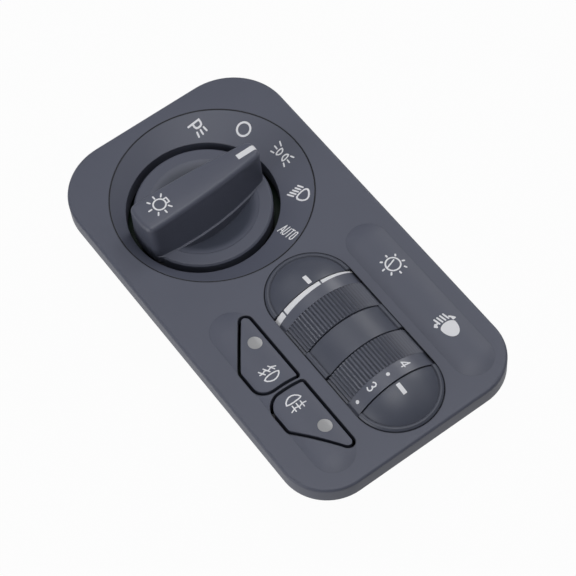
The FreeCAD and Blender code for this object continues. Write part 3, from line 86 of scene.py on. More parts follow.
back = Vector((math.sin(AZIMUTH) * math.cos(ELEVATION), -math.cos(AZIMUTH) * math.cos(ELEVATION),
               math.sin(ELEVATION)))
level_right = (-back).cross(Vector((0, 0, 1))).normalized()
level_up = level_right.cross(-back)
right = math.cos(ROLL) * level_right + math.sin(ROLL) * level_up
up = -math.sin(ROLL) * level_right + math.cos(ROLL) * level_up
lens = bpy.data.cameras.new("photo_lens")
lens.sensor_width = SENSOR
lens.lens = FOCAL_PIXELS / FRAME_PIXELS * SENSOR
lens.clip_start = NEAREST
camera = put_in_scene("photo_camera", lens)
axes = Matrix((right, up, back)).transposed().to_4x4()
camera.matrix_world = Matrix.Translation(TARGET + back * DISTANCE) @ axes
bpy.context.scene.camera = camera
print("lens", round(lens.lens, 1), "mm, camera at", [round(v, 4) for v in camera.location])

# %% [markdown]
# The light in the photograph is soft and comes from above: level faces are the lightest, whatever leans is
# darker, and the knob's flank that looks at the viewer is the darkest. One large lamp overhead does most of
# that. Weaker ones stand behind and to the right, where the domes and pads catch them, and a low one lights
# the knob's tail. A lamp's size sets how soft its shadow is.

# %% Lamps
LAMP_REACH = 0.8
LAMPS = {  # direction from the switch, side in metres, power in watts
    "top_softbox": ((0.0, 0.0, 1.0), 0.45, 2.5),
    "left_softbox": ((0.0, -1.0, 0.25), 0.45, 2.1),
    "back_softbox": ((-0.9, -0.1, 0.7), 0.45, 0.5),
    "right_softbox": ((0.35, 0.8, 0.75), 0.45, 0.45),
    "far_softbox": ((-0.35, 0.8, 0.65), 0.3, 1.3),
}
for name, (direction, side, power) in LAMPS.items():
    light = bpy.data.lights.new(name, "AREA")
    light.shape, light.size, light.energy = "SQUARE", side, power
    aim = Vector(direction).normalized()
    facing = aim.to_track_quat("Z", "Y").to_matrix().to_4x4()
    put_in_scene(name, light).matrix_world = Matrix.Translation(TARGET + aim * LAMP_REACH) @ facing
print("lamps:", len(LAMPS), "with", round(sum(lamp[2] for lamp in LAMPS.values()), 2), "W in all")

# %% [markdown]
# A weak, slightly blue world lifts the shadows a little. Rays that come straight from the camera see plain
# white in its place, so that the picture stays white past the floor's edge. Two small helpers are first
# needed here: one makes a node with its settings, the other links outputs to inputs.

# %% World
WORLD_FILL, WORLD_TINT, WHITE = 0.11, (0.92, 0.95, 1.0, 1), (1, 1, 1, 1)


def add(tree, kind, inputs=None, **settings):
    """A new node with its settings, and with values for the inputs that stay unlinked."""
    node = tree.nodes.new(kind)
    for name, value in settings.items():
        setattr(node, name, value)
    for socket, value in (inputs or {}).items():
        node.inputs[socket].default_value = value
    return node


def join(tree, *links):
    """Link each pair of an output and an input."""
    for start, end in links:
        tree.links.new(start, end)


world = bpy.data.worlds.new("studio")
bpy.context.scene.world = world
world.use_nodes = True
tree = world.node_tree
tree.nodes.clear()
soft = add(tree, "ShaderNodeBackground", {"Color": WORLD_TINT, "Strength": WORLD_FILL})
white = add(tree, "ShaderNodeBackground", {"Color": WHITE, "Strength": 1.0})
path, swap = add(tree, "ShaderNodeLightPath"), add(tree, "ShaderNodeMixShader")
output = add(tree, "ShaderNodeOutputWorld")
join(tree, (path.outputs["Is Camera Ray"], swap.inputs["Fac"]),
     (soft.outputs[0], swap.inputs[1]), (white.outputs[0], swap.inputs[2]),
     (swap.outputs[0], output.inputs["Surface"]))
bpy.context.scene.view_settings.view_transform = "Standard"
print("world fill:", WORLD_FILL, "view transform:", bpy.context.scene.view_settings.view_transform)

# %% [markdown]
# The ground in the photograph is pure white and keeps only a breath of shadow. The floor is a pale sheet a
# hair below the switch, so that no two faces coincide.

# %% Floor sheet
FLOOR_HALF, FLOOR_GAP = 2.0, 0.05 * mm
bm = bmesh.new()
bmesh.ops.create_grid(bm, x_segments=1, y_segments=1, size=FLOOR_HALF)
bmesh.ops.translate(bm, verts=bm.verts, vec=(0, 0, box_at_load[0][2] - FLOOR_GAP))
sheet = bpy.data.meshes.new("floor")
bm.to_mesh(sheet)
bm.free()
floor = put_in_scene("floor", sheet)
print("floor at z", round(sheet.vertices[0].co.z / mm, 3), "mm")

# %% [markdown]
# More lamp light would whiten the floor but wash out the switch. So the floor's material adds white light of
# its own for rays that come from the camera, a gloss or a glass. It lights nothing, and the plain part that
# is left still shows where the switch keeps the lamps off.

# %% Floor material
GROUND, OWN_LIGHT = (0.4, 0.4, 0.41, 1), 0.97
ground = bpy.data.materials.new("white_ground")
ground.use_nodes = True
tree = ground.node_tree
tree.nodes.clear()
matt = add(tree, "ShaderNodeBsdfDiffuse", {"Color": GROUND})
glow = add(tree, "ShaderNodeEmission", {"Color": WHITE, "Strength": 1.0})
path, blend = add(tree, "ShaderNodeLightPath"), add(tree, "ShaderNodeMixShader")
seen = add(tree, "ShaderNodeMath", operation="MAXIMUM")
shine = add(tree, "ShaderNodeMath", operation="MAXIMUM")
share = add(tree, "ShaderNodeMath", {1: OWN_LIGHT}, operation="MULTIPLY")
output = add(tree, "ShaderNodeOutputMaterial")
join(tree, (path.outputs["Is Camera Ray"], seen.inputs[0]), (path.outputs["Is Glossy Ray"], seen.inputs[1]),
     (seen.outputs[0], shine.inputs[0]), (path.outputs["Is Transmission Ray"], shine.inputs[1]),
     (shine.outputs[0], share.inputs[0]), (share.outputs[0], blend.inputs["Fac"]),
     (matt.outputs[0], blend.inputs[1]), (glow.outputs[0], blend.inputs[2]),
     (blend.outputs[0], output.inputs["Surface"]))
sheet.materials.append(ground)
print("floor material:", ground.name, "with", len(tree.nodes), "nodes")

# %% [markdown]
# ## Finishes
# The visible mouldings are a satin dark grey-blue paint over plastic. Up close such paint has a very fine
# grain and a slight unevenness of colour and gloss. One node group makes both for every material, which sets
# its own values: a fine noise gives the height, and a broad one, with its mean taken off, shifts the colour
# and the roughness. The shader stays in the material. A noise's scale counts its features per metre.

# %% Node group for moulded and painted surfaces
FINE_DETAIL, BROAD_SCALE, BROAD_DETAIL = 2.0, 45.0, 3.0
DARK_GREY = (0.1, 0.1, 0.1, 1)


def shader_group(name, inputs, outputs):
    """An empty node group with named sockets, and its two end nodes."""
    group = bpy.data.node_groups.new(name, "ShaderNodeTree")
    for label, kind, value in inputs:
        socket = group.interface.new_socket(label, in_out="INPUT", socket_type="NodeSocket" + kind)
        if value is not None:
            socket.default_value = value
    for label, kind in outputs:
        group.interface.new_socket(label, in_out="OUTPUT", socket_type="NodeSocket" + kind)
    return group, group.nodes.new("NodeGroupInput"), group.nodes.new("NodeGroupOutput")


grain, start, end = shader_group(
    "fine_grain",
    [("Place", "Vector", None), ("Colour", "Color", DARK_GREY), ("Unevenness", "Float", 0.1),
     ("Roughness", "Float", 0.45), ("Grain size", "Float", 4000.0), ("Gloss change", "Float", 0.08)],
    [("Colour", "Color"), ("Roughness", "Float"), ("Height", "Float")])
fine = add(grain, "ShaderNodeTexNoise", {"Detail": FINE_DETAIL})
broad = add(grain, "ShaderNodeTexNoise", {"Scale": BROAD_SCALE, "Detail": BROAD_DETAIL})
centred = add(grain, "ShaderNodeMath", {1: 0.5}, operation="SUBTRACT")
amount = add(grain, "ShaderNodeMath", {2: 1.0}, operation="MULTIPLY_ADD")
tone = add(grain, "ShaderNodeVectorMath", operation="SCALE")
gloss = add(grain, "ShaderNodeMath", operation="MULTIPLY_ADD")
join(grain, (start.outputs["Place"], fine.inputs["Vector"]), (start.outputs["Grain size"], fine.inputs["Scale"]),
     (start.outputs["Place"], broad.inputs["Vector"]), (broad.outputs["Fac"], centred.inputs[0]),
     (centred.outputs[0], amount.inputs[0]), (start.outputs["Unevenness"], amount.inputs[1]),
     (start.outputs["Colour"], tone.inputs[0]), (amount.outputs[0], tone.inputs["Scale"]),
     (centred.outputs[0], gloss.inputs[0]), (start.outputs["Gloss change"], gloss.inputs[1]),
     (start.outputs["Roughness"], gloss.inputs[2]), (tone.outputs[0], end.inputs["Colour"]),
     (gloss.outputs[0], end.inputs["Roughness"]), (fine.outputs["Fac"], end.inputs["Height"]))
print("group:", grain.name, "with", len(grain.nodes), "nodes")

# %% [markdown]
# The colour is darkened along moulded edges and in grooves as painted shade, so both read as fine dark
# lines. They could be painted by hand, but a mask finds them anywhere. A Bevel node's rounded normal leaves
# the flat one only near an edge, so the angle between the two is the mask for edges, and an Ambient
# Occlusion node says how open the surface is.

# %% Node group for painted shade on edges and in grooves
EDGE_GAIN, EDGE_CUT = 2.2, -0.12
edge_groove_shade, start, end = shader_group(
    "painted_edge_shade",
    [("Colour", "Color", DARK_GREY), ("Rounded", "Vector", None), ("Flat", "Vector", None),
     ("Open", "Float", 1.0), ("Edge amount", "Float", 0.4), ("Groove amount", "Float", 0.0)],
    [("Colour", "Color")])
along = add(edge_groove_shade, "ShaderNodeVectorMath", operation="DOT_PRODUCT")
angle = add(edge_groove_shade, "ShaderNodeMath", operation="ARCCOSINE")
edges = add(edge_groove_shade, "ShaderNodeMath", {1: EDGE_GAIN, 2: EDGE_CUT}, operation="MULTIPLY_ADD", use_clamp=True)
edge_share = add(edge_groove_shade, "ShaderNodeMath", operation="MULTIPLY")
closed = add(edge_groove_shade, "ShaderNodeMath", {0: 1.0}, operation="SUBTRACT", use_clamp=True)
groove_share = add(edge_groove_shade, "ShaderNodeMath", operation="MULTIPLY")
both = add(edge_groove_shade, "ShaderNodeMath", operation="ADD", use_clamp=True)
kept = add(edge_groove_shade, "ShaderNodeMath", {0: 1.0}, operation="SUBTRACT")
darker = add(edge_groove_shade, "ShaderNodeVectorMath", operation="SCALE")
join(edge_groove_shade, (start.outputs["Rounded"], along.inputs[0]), (start.outputs["Flat"], along.inputs[1]),
     (along.outputs["Value"], angle.inputs[0]), (angle.outputs[0], edges.inputs[0]),
     (edges.outputs[0], edge_share.inputs[0]), (start.outputs["Edge amount"], edge_share.inputs[1]),
     (start.outputs["Open"], closed.inputs[1]), (closed.outputs[0], groove_share.inputs[0]),
     (start.outputs["Groove amount"], groove_share.inputs[1]), (edge_share.outputs[0], both.inputs[0]),
     (groove_share.outputs[0], both.inputs[1]), (both.outputs[0], kept.inputs[1]),
     (start.outputs["Colour"], darker.inputs[0]), (kept.outputs[0], darker.inputs["Scale"]),
     (darker.outputs[0], end.inputs["Colour"]))
print("group:", edge_groove_shade.name, "with", len(edge_groove_shade.nodes), "nodes")

# %% [markdown]
# The nodes that see the geometry, Bevel and Ambient Occlusion, stay in the material, and the group only turns
# what they say into a painted shade. So each material can have its own width of painted shade at its edges
# and its own reach of painted shade in its grooves.

# %% Painted shade for one material
SHADE_SAMPLES = 8


def shaded_colour(tree, colour, rim, rim_width, groove_shade, groove_shade_reach):
    """The colour with painted shade: darker at edges by rim and in grooves by groove_shade. Widths are in
    millimetres.
    """
    painted_shade = add(tree, "ShaderNodeGroup", {"Edge amount": rim, "Groove amount": groove_shade}, node_tree=edge_groove_shade)
    wide = add(tree, "ShaderNodeBevel", {"Radius": rim_width * mm}, samples=SHADE_SAMPLES)
    flat = add(tree, "ShaderNodeNewGeometry")
    room = add(tree, "ShaderNodeAmbientOcclusion", {"Distance": groove_shade_reach * mm}, samples=SHADE_SAMPLES,
               only_local=True)
    join(tree, (colour, painted_shade.inputs["Colour"]), (wide.outputs["Normal"], painted_shade.inputs["Rounded"]),
         (flat.outputs["True Normal"], painted_shade.inputs["Flat"]), (room.outputs["AO"], painted_shade.inputs["Open"]))
    return painted_shade.outputs["Colour"]


# The painted shade on edges and in grooves is sampled this many times.
print("wear is looked for with", SHADE_SAMPLES, "samples")

# %% [markdown]
# A moulded edge is never knife sharp. The model's edges that are drawn sharp get their softness here: Cycles'
# Bevel node turns the normal near an edge as if a small radius were there, which is lighter than cutting a
# bevel into every solid, and the grain's bump lies on top. One function makes every material from that.

# %% The recipe for a finish
GRAIN_DEPTH, EDGE_SAMPLES = 0.05, 6


def shader_of(material):
    """The material's Principled shader."""
    return next(node for node in material.node_tree.nodes if node.type == "BSDF_PRINCIPLED")


def finish(name, colour, roughness, uneven=0.1, size=4000.0, bump=0.0, edge=0.25,
           rim=0.0, rim_width=0.3, groove_shade=0.0, groove_shade_reach=0.8, **shader):
    """A Principled material from the two groups, with its edge, rim_width and groove_shade_reach in millimetres;
    rim and groove_shade paint shade on its edges and in its grooves.

    What **shader names is the same all over, so it is set on the shader's own sockets.
    """
    material = bpy.data.materials.new(name)
    material.use_nodes = True
    tree, surface = material.node_tree, shader_of(material)
    place = add(tree, "ShaderNodeTexCoord")
    effect = add(tree, "ShaderNodeGroup", {"Colour": (*colour, 1), "Unevenness": uneven, "Roughness": roughness,
                                           "Grain size": size}, node_tree=grain)
    relief = add(tree, "ShaderNodeBump", {"Strength": bump, "Distance": GRAIN_DEPTH * mm})
    tint = effect.outputs["Colour"]
    if rim or groove_shade:
        tint = shaded_colour(tree, tint, rim, rim_width, groove_shade, groove_shade_reach)
    if edge:
        rounding = add(tree, "ShaderNodeBevel", {"Radius": edge * mm}, samples=EDGE_SAMPLES)
        join(tree, (rounding.outputs["Normal"], relief.inputs["Normal"]))
    join(tree, (place.outputs["Object"], effect.inputs["Place"]), (tint, surface.inputs["Base Color"]),
         (effect.outputs["Roughness"], surface.inputs["Roughness"]),
         (effect.outputs["Height"], relief.inputs["Height"]), (relief.outputs["Normal"], surface.inputs["Normal"]))
    for socket, value in shader.items():
        surface.inputs[socket.replace("_", " ")].default_value = value
    return material


print("a finish is made of the groups", grain.name, "and", edge_groove_shade.name)

# %% [markdown]
# The panel and the buttons wear one paint. The knob is handled most and has a little more gloss, the insert
# round the wheels is a shade darker, and the wheels are bare plastic with painted shade between their ribs.
# The panel and the insert also get painted shade along their edges, and the panel in its hollows as well.
# The print is a matt white ink, and the buttons' windows are a frosted grey plastic.

# %% Finishes that show
PANEL_PAINT, KNOB_PAINT = (0.096, 0.104, 0.142), (0.1, 0.108, 0.146)
finishes = {
    # rim and groove_shade are painted shade along edges and in grooves and hollows.
    "panel": finish("panel_paint", PANEL_PAINT, 0.5, uneven=0.12, bump=0.25, edge=0.3,
                    rim=0.6, rim_width=0.4, groove_shade=0.8, groove_shade_reach=3.0),
    "surround": finish("surround_paint", (0.084, 0.092, 0.123), 0.42, bump=0.2, rim=0.5),
    "knob": finish("knob_paint", KNOB_PAINT, 0.42, bump=0.2, edge=0.35),
    # The scoop's dark colour is painted shade.
    "scoop": finish("scoop_painted_shade", (0.05, 0.057, 0.081), 0.52, bump=0.25, edge=0),
    "marking": finish("white_print", (0.84, 0.84, 0.87), 0.5, uneven=0.02, edge=0),
    "wheel": finish("wheel_plastic", (0.108, 0.116, 0.152), 0.38, bump=0.1, edge=0.1,
                    groove_shade=0.8, groove_shade_reach=0.6, Specular_IOR_Level=0.6),
    "button": finish("button_paint", PANEL_PAINT, 0.5, bump=0.25),
    "window": finish("indicator_window", (0.37, 0.37, 0.38), 0.35, uneven=0.05, size=1800.0, bump=0.5,
                     Coat_Weight=0.3),
}
print("finishes that show:", sorted(finishes))

# %% [markdown]
# Behind the panel are black glass-filled plastics, a green board, zinc-plated steel, tinned bronze contacts,
# lamp chips and clear light guides. They show only through gaps and from behind, but get the same recipe.

# %% Finishes inside
finishes.update({
    "housing": finish("housing_plastic", (0.02, 0.021, 0.023), 0.55, bump=0.3),
    "inner_plastic": finish("switch_plastic", (0.03, 0.03, 0.032), 0.5, bump=0.2),
    "board": finish("board_resin", (0.006, 0.018, 0.011), 0.35, bump=0.1, edge=0),
    "steel": finish("zinc_steel", (0.55, 0.55, 0.57), 0.32, bump=0.1, Metallic=1.0),
    "contacts": finish("tinned_bronze", (0.72, 0.6, 0.38), 0.3, bump=0.05, edge=0, Metallic=1.0),
    "lamps": finish("lamp_chip", (0.13, 0.125, 0.1), 0.4, edge=0),
    "light_guide": finish("clear_guide", (0.75, 0.78, 0.8), 0.15, uneven=0.02, edge=0),
})
print("finishes in all:", len(finishes))

# %% [markdown]
# The scoops are painted dark in their depth beside the bar, as painted shade. A dark material alone would
# end in a hard border, so the scoops' colour is blended from dark at the bar to the knob's own paint at the
# rim, by the distance from the knob's axis.

# %% Painted shade in the scoops, darker towards the bar
KNOB_X, KNOB_Y = -29.1, -3.2
BOWL_TO, DARK_WITHIN = 14.6, 12.0
MIX_A, MIX_B, MIX_RESULT = 6, 7, 2  # the Mix node's colour sockets
tree, surface = finishes["scoop"].node_tree, shader_of(finishes["scoop"])
place = add(tree, "ShaderNodeTexCoord")
from_axis = add(tree, "ShaderNodeVectorMath", {1: (KNOB_X * mm, KNOB_Y * mm, 0)}, operation="SUBTRACT")
level = add(tree, "ShaderNodeVectorMath", {1: (1, 1, 0)}, operation="MULTIPLY")
reach = add(tree, "ShaderNodeVectorMath", operation="LENGTH")
fade = add(tree, "ShaderNodeMapRange", {"From Min": DARK_WITHIN * mm, "From Max": BOWL_TO * mm},
           interpolation_type="SMOOTHSTEP")
mixed = add(tree, "ShaderNodeMix", data_type="RGBA")
mixed.inputs[MIX_B].default_value = (*KNOB_PAINT, 1)
join(tree, (place.outputs["Object"], from_axis.inputs[0]), (from_axis.outputs[0], level.inputs[0]),
     (level.outputs[0], reach.inputs[0]), (reach.outputs["Value"], fade.inputs["Value"]),
     (fade.outputs["Result"], mixed.inputs[0]),
     (surface.inputs["Base Color"].links[0].from_socket, mixed.inputs[MIX_A]),
     (mixed.outputs[MIX_RESULT], surface.inputs["Base Color"]))
print("scoops darken within", DARK_WITHIN, "mm of the knob's axis")

# %% [markdown]
# ## Smoothing the mouldings
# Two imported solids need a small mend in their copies. The first is the panel: the tip of one hidden screw
# boss comes through the dished dial. The dial is a cone whose circle shrinks and moves as it goes down, so
# its height at a place is found by a search, and the boss's points are brought down to it.

# %% Mend for the panel
FACE_Z, DIAL_DEPTH, DIAL_RADIUS, DIAL_SHRINK, DIAL_INSIDE = 5.0, 3.25, 26.8, 6.6, 26.7
BOSS_X, BOSS_Y, BOSS_REACH, BOSS_FROM, BOSS_TO = -43.0, -23.2, 2.8, 2.0, 3.95
HALVINGS, PROUD, SUNK, MERGE = 30, 0.005, 0.004, 0.002


def dish_height(x, y):
    """Height of the dial's cone in metres. The step goes from 0 at the face to 1 at the well."""
    low, high = 0.0, 1.0
    for _ in range(HALVINGS):
        step = (low + high) / 2
        from_centre = math.hypot(x - KNOB_X * mm, y - KNOB_Y * mm * step)
        inside = from_centre < (DIAL_RADIUS - DIAL_SHRINK * step) * mm
        low, high = (step, high) if inside else (low, step)
    return (FACE_Z - DIAL_DEPTH * low) * mm


def level_boss_under_dial(bm):
    """Bring the boss points that stand over the dish down to it."""
    boss, dial = Vector((BOSS_X, BOSS_Y)) * mm, Vector((KNOB_X, 0)) * mm
    tip = [v for v in bm.verts
           if BOSS_FROM * mm < v.co.z < BOSS_TO * mm and (v.co.xy - boss).length < BOSS_REACH * mm
           and (v.co.xy - dial).length < DIAL_INSIDE * mm
           and v.co.z > dish_height(v.co.x, v.co.y) + PROUD * mm]
    for v in tip:
        v.co.z = dish_height(v.co.x, v.co.y) - SUNK * mm
    bmesh.ops.remove_doubles(bm, verts=bm.verts, dist=MERGE * mm)
    print("boss points brought down to the dish:", len(tip))


print("dish over the boss at", round(dish_height(BOSS_X * mm, BOSS_Y * mm) / mm, 2), "mm")

# %% [markdown]
# The second is the knob. On the real one the scoops beside the grip bar are a deep smooth bowl, and in the
# solid they have a flat floor. The floor goes down close to the disc's underside, to make room for a bowl.

# %% Mend for the knob
SOLID_FLOOR, LOW_FLOOR, SAME_HEIGHT = 0.5, -0.95, 0.01
FLOOR_FROM, FLOOR_TO = 4.0, 13.0


def deepen_scoops(bm):
    """Lower the points of the scoops' floor."""
    axis = Vector((KNOB_X, KNOB_Y)) * mm
    floor_points = [v for v in bm.verts if abs(v.co.z - SOLID_FLOOR * mm) < SAME_HEIGHT * mm
                    and FLOOR_FROM * mm < (v.co.xy - axis).length < FLOOR_TO * mm]
    for v in floor_points:
        v.co.z = LOW_FLOOR * mm
    print("scoop floor points lowered:", len(floor_points))


mends = {"front_panel": level_boss_under_dial, "knob": deepen_scoops}
print("pieces to mend:", sorted(mends))

# %% [markdown]
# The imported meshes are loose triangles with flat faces. Each piece is copied, its double points are merged,
# its real edges are marked sharp and everything between them is shaded smooth, so a dome reads as a dome.
# Shading it all smooth would smear the edges, and a subdivision would move them. An edge of over 28 degrees
# counts as real. The panel's shallow dish needs 12, and on the knob up to 33 still reads as one smooth form.

# %% Dress every node
part_slots = {p["node"]: p["material_slot"] for p in frame["record"]["subparts"]}
part_bodies = {n: body for body, members in frame["record"]["behaviour"]["bodies"].items() for n in members}
SHARP, SHARP_ELSEWHERE, DOUBLE = {"knob": 33, "front_panel": 12}, 28, 0.0005
dressed = {}
for name, source in nodes.items():
    mesh = source.data.copy()
    bm = bmesh.new()
    bm.from_mesh(mesh)
    bmesh.ops.remove_doubles(bm, verts=bm.verts, dist=DOUBLE * mm)
    sharp_angle = math.radians(SHARP.get(name, SHARP_ELSEWHERE))
    for edge in bm.edges:
        edge.smooth = not edge.is_manifold or edge.calc_face_angle(0) < sharp_angle
    for face in bm.faces:
        face.smooth = True
    if name in mends:
        mends[name](bm)
    bm.to_mesh(mesh)
    bm.free()
    mesh.materials.clear()
    mesh.materials.append(finishes[part_slots[name]])
    piece = put_in_scene(name + "_dressed", mesh)
    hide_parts(name)
    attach(piece, part_bodies[name])
    dressed[name] = piece
print("dressed:", len(dressed), "pieces,", sum(len(p.data.polygons) for p in dressed.values()), "triangles")

# %% [markdown]
# The finger scoops are a bowl that climbs from the bar's foot to the rim, and their finish is a little more
# matt and carries their painted shade. The bowl is one profile spun round the knob's axis: it leaves the floor
# gently, climbs, and meets the rim gently again, so no crease shows, and the bar stands through it. Its faces
# are turned to look up, because an open sheet has no outside of its own.

# %% Bowl of the finger scoops
BOWL_MIDDLE, BOWL_FROM, BOWL_FLOOR, BOWL_RIM = 3.0, 7.0, -0.9, 2.01
STRAIGHT, EASED = 0.4, 0.6
PROFILE_STEPS, ROUND_STEPS = 16, 96
bm = bmesh.new()
profile = [bm.verts.new((BOWL_MIDDLE * mm, 0, BOWL_FLOOR * mm))]
for i in range(PROFILE_STEPS + 1):
    t = i / PROFILE_STEPS
    climb = STRAIGHT * t + EASED * t * t * (3 - 2 * t)
    profile.append(bm.verts.new(((BOWL_FROM + (BOWL_TO - BOWL_FROM) * t) * mm, 0,
                                 (BOWL_FLOOR + (BOWL_RIM - BOWL_FLOOR) * climb) * mm)))
spine = [bm.edges.new(pair) for pair in zip(profile, profile[1:])]
bmesh.ops.spin(bm, geom=profile + spine, cent=(0, 0, 0), axis=(0, 0, 1), angle=2 * math.pi,
               steps=ROUND_STEPS, use_merge=True)
bmesh.ops.translate(bm, verts=bm.verts, vec=(KNOB_X * mm, KNOB_Y * mm, 0))
bmesh.ops.recalc_face_normals(bm, faces=bm.faces)
if sum(f.normal.z for f in bm.faces) < 0:
    bmesh.ops.reverse_faces(bm, faces=bm.faces)
for face in bm.faces:
    face.smooth = True
bowl_mesh = bpy.data.meshes.new("knob_bowl")
bm.to_mesh(bowl_mesh)
bm.free()
bowl_mesh.materials.append(finishes["scoop"])
bowl = put_in_scene("knob_bowl", bowl_mesh)
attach(bowl, "knob")
print("bowl faces:", len(bowl_mesh.polygons))

# %% [markdown]
# ## Printed symbols
# The symbols are strokes of even width with round ends. A curve with a bevel could draw them, but it can't lie
# on a dish. So each stroke is a bar, a disc whose halves are moved apart, and a bend is a line of such bars.
# They are drawn flat, in millimetres, and each lies a hair higher than the last, so that no two faces coincide
# where strokes cross.

# %% Strokes
LAYER_STEP, LAYERS, TINY, END_SIDES = 0.006, 5, 1e-9, 14


class Strokes:
    """A flat drawing in millimetres."""

    def __init__(self):
        self.bm = bmesh.new()
        self.layer = 0
        self.outward = lambda at: Vector((0, 0, 1))

    def put(self, made, turn=0.0, x=0.0, y=0.0):
        """Turn and move what was just made, and lift it to a layer of its own."""
        verts = [v for v in made if v.is_valid]
        bmesh.ops.rotate(self.bm, verts=verts, cent=(0, 0, 0), matrix=Matrix.Rotation(turn, 3, "Z"))
        bmesh.ops.translate(self.bm, verts=verts, vec=(x, y, LAYER_STEP * (self.layer % LAYERS)))
        self.layer += 1

    def bar(self, x0, y0, x1, y1, width):
        """A stroke with round ends: the two halves of a disc, moved apart."""
        length, turn = math.hypot(x1 - x0, y1 - y0), math.atan2(y1 - y0, x1 - x0)
        ends = bmesh.ops.create_circle(self.bm, cap_ends=True, segments=END_SIDES, radius=width / 2)["verts"]
        bmesh.ops.translate(self.bm, verts=[v for v in ends if v.co.x > TINY], vec=(length / 2, 0, 0))
        bmesh.ops.translate(self.bm, verts=[v for v in ends if v.co.x < -TINY], vec=(-length / 2, 0, 0))
        self.put(ends, turn, (x0 + x1) / 2, (y0 + y1) / 2)

    def rays(self, width, *bars):
        """Several bars apart."""
        for ray in bars:
            self.bar(*ray, width)

    def line(self, width, *points):
        """Bars end to end."""
        for (x0, y0), (x1, y1) in zip(points, points[1:]):
            self.bar(x0, y0, x1, y1, width)

    def loop(self, width, *points):
        """A line that ends where it began."""
        self.line(width, *points, points[0])


print("strokes: bar, rays, line, loop")

# %% [markdown]
# A few marks need more than bars: a ring is a short edge spun once round, a dot is a disc, and the bars on the
# wheels' caps are plates, which are grids of one face with bevelled corners.

# %% Rings, dots and plates
RING_STEPS, DOT_SIDES, CORNER_STEPS = 36, 24, 3


class Shapes(Strokes):
    """Strokes, and shapes that aren't made of bars."""

    def ring(self, x, y, radius, width):
        """A short edge spun once round."""
        inner = self.bm.verts.new((radius - width / 2, 0, 0))
        outer = self.bm.verts.new((radius + width / 2, 0, 0))
        edge = self.bm.edges.new((inner, outer))
        before = set(self.bm.verts) - {inner, outer}
        bmesh.ops.spin(self.bm, geom=[inner, outer, edge], cent=(0, 0, 0), axis=(0, 0, 1),
                       angle=2 * math.pi, steps=RING_STEPS, use_merge=True)
        self.put([v for v in self.bm.verts if v not in before], 0, x, y)

    def dot(self, radius):
        """A filled disc."""
        self.put(bmesh.ops.create_circle(self.bm, cap_ends=True, segments=DOT_SIDES, radius=radius)["verts"])

    def plate(self, length, width, corner):
        """A small rectangle with its corners taken off round."""
        verts = bmesh.ops.create_grid(self.bm, x_segments=1, y_segments=1, size=0.5)["verts"]
        bmesh.ops.scale(self.bm, verts=verts, vec=(length, width, 1))
        made = bmesh.ops.bevel(self.bm, geom=verts, offset=corner, affect="VERTICES",
                               segments=CORNER_STEPS, profile=0.5, material=-1)
        self.put(made["verts"])


print("shapes: ring, dot, plate")

# %% [markdown]
# Real print is a film of ink with a thickness. A Solidify modifier gives it one, downwards from the drawing, and
# the drawing is first cut into narrow strips both ways, because only its corners can follow a curved surface.

# %% A film of ink
INK = 0.05


class Film(Shapes):
    """A drawing that can be cut into strips and made a piece."""

    def strips(self, width):
        """Cut the drawing across both ways."""
        for axis in (0, 1):
            low = min(v.co[axis] for v in self.bm.verts)
            high = max(v.co[axis] for v in self.bm.verts)
            for i in range(1, int((high - low) / width) + 1):
                at, normal = Vector((0, 0, 0)), Vector((0, 0, 0))
                at[axis], normal[axis] = low + i * width, 1
                bmesh.ops.bisect_plane(self.bm, geom=self.bm.verts[:] + self.bm.edges[:] + self.bm.faces[:],
                                       plane_co=at, plane_no=normal)

    def made(self, name, body):
        """Turn every face outwards, and make the drawing a piece that rides on a body."""
        self.bm.normal_update()
        turned = [f for f in self.bm.faces if f.normal.dot(self.outward(f.calc_center_median())) < 0]
        bmesh.ops.reverse_faces(self.bm, faces=turned)
        bmesh.ops.scale(self.bm, verts=self.bm.verts, vec=(mm, mm, mm))
        mesh = bpy.data.meshes.new(name)
        self.bm.to_mesh(mesh)
        self.bm.free()
        mesh.materials.append(finishes["marking"])
        piece = put_in_scene(name, mesh)
        depth = piece.modifiers.new("film", "SOLIDIFY")
        depth.thickness, depth.offset = INK * mm, -1
        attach(piece, body)
        print(name, "rides on", body, "and has", len(mesh.polygons), "faces")
        return piece


print("ink is", INK, "mm thick")

# %% [markdown]
# Print on the panel is laid on by a pad that comes straight down, and a ray that falls on the piece below each
# point does the same. Print on a wheel is rolled on, so there the drawing's y becomes a distance round the drum.

# %% Laying print on a surface
LIFT, FROM_ABOVE = 0.02, 60
WHEEL_Y, WHEEL_Z, BAND_RADIUS, BAND_STRIP = 2.4, -6.1, 15.6, 0.8


class Print(Film):
    """A drawing that can be laid on the piece that carries it."""

    def drop_on(self, carrier, x, y, width=1.0):
        """Lay the drawing on a piece, straight down from above."""
        bmesh.ops.translate(self.bm, verts=self.bm.verts, vec=(x, y, 0))
        self.strips(width)
        mesh = dressed[carrier].data
        surface = BVHTree.FromPolygons([v.co / mm for v in mesh.vertices], [p.vertices[:] for p in mesh.polygons])
        for v in self.bm.verts:
            hit = surface.ray_cast(Vector((v.co.x, v.co.y, FROM_ABOVE)), Vector((0, 0, -1)))[0]
            v.co.z = hit.z + LIFT + v.co.z
        return self

    def wrap_on_wheel(self, x, angle):
        """Roll the drawing round a drum, with its middle at an angle from the top."""
        bmesh.ops.translate(self.bm, verts=self.bm.verts, vec=(x, 0, 0))
        self.strips(BAND_STRIP)
        for v in self.bm.verts:
            around = math.radians(angle) + v.co.y / BAND_RADIUS
            out = BAND_RADIUS + LIFT + v.co.z
            v.co.y, v.co.z = WHEEL_Y + out * math.sin(around), WHEEL_Z + out * math.cos(around)
        self.outward = lambda at: Vector((0, at.y - WHEEL_Y, at.z - WHEEL_Z))
        return self


print("print lies", LIFT, "mm over what carries it")

# %% [markdown]
# The dial carries five positions: parking lamps, off, side lamps, low beam and automatic. They stand upright,
# each at its knob angle on the dished face. The first two are bold: a P with three rays, and a ring.

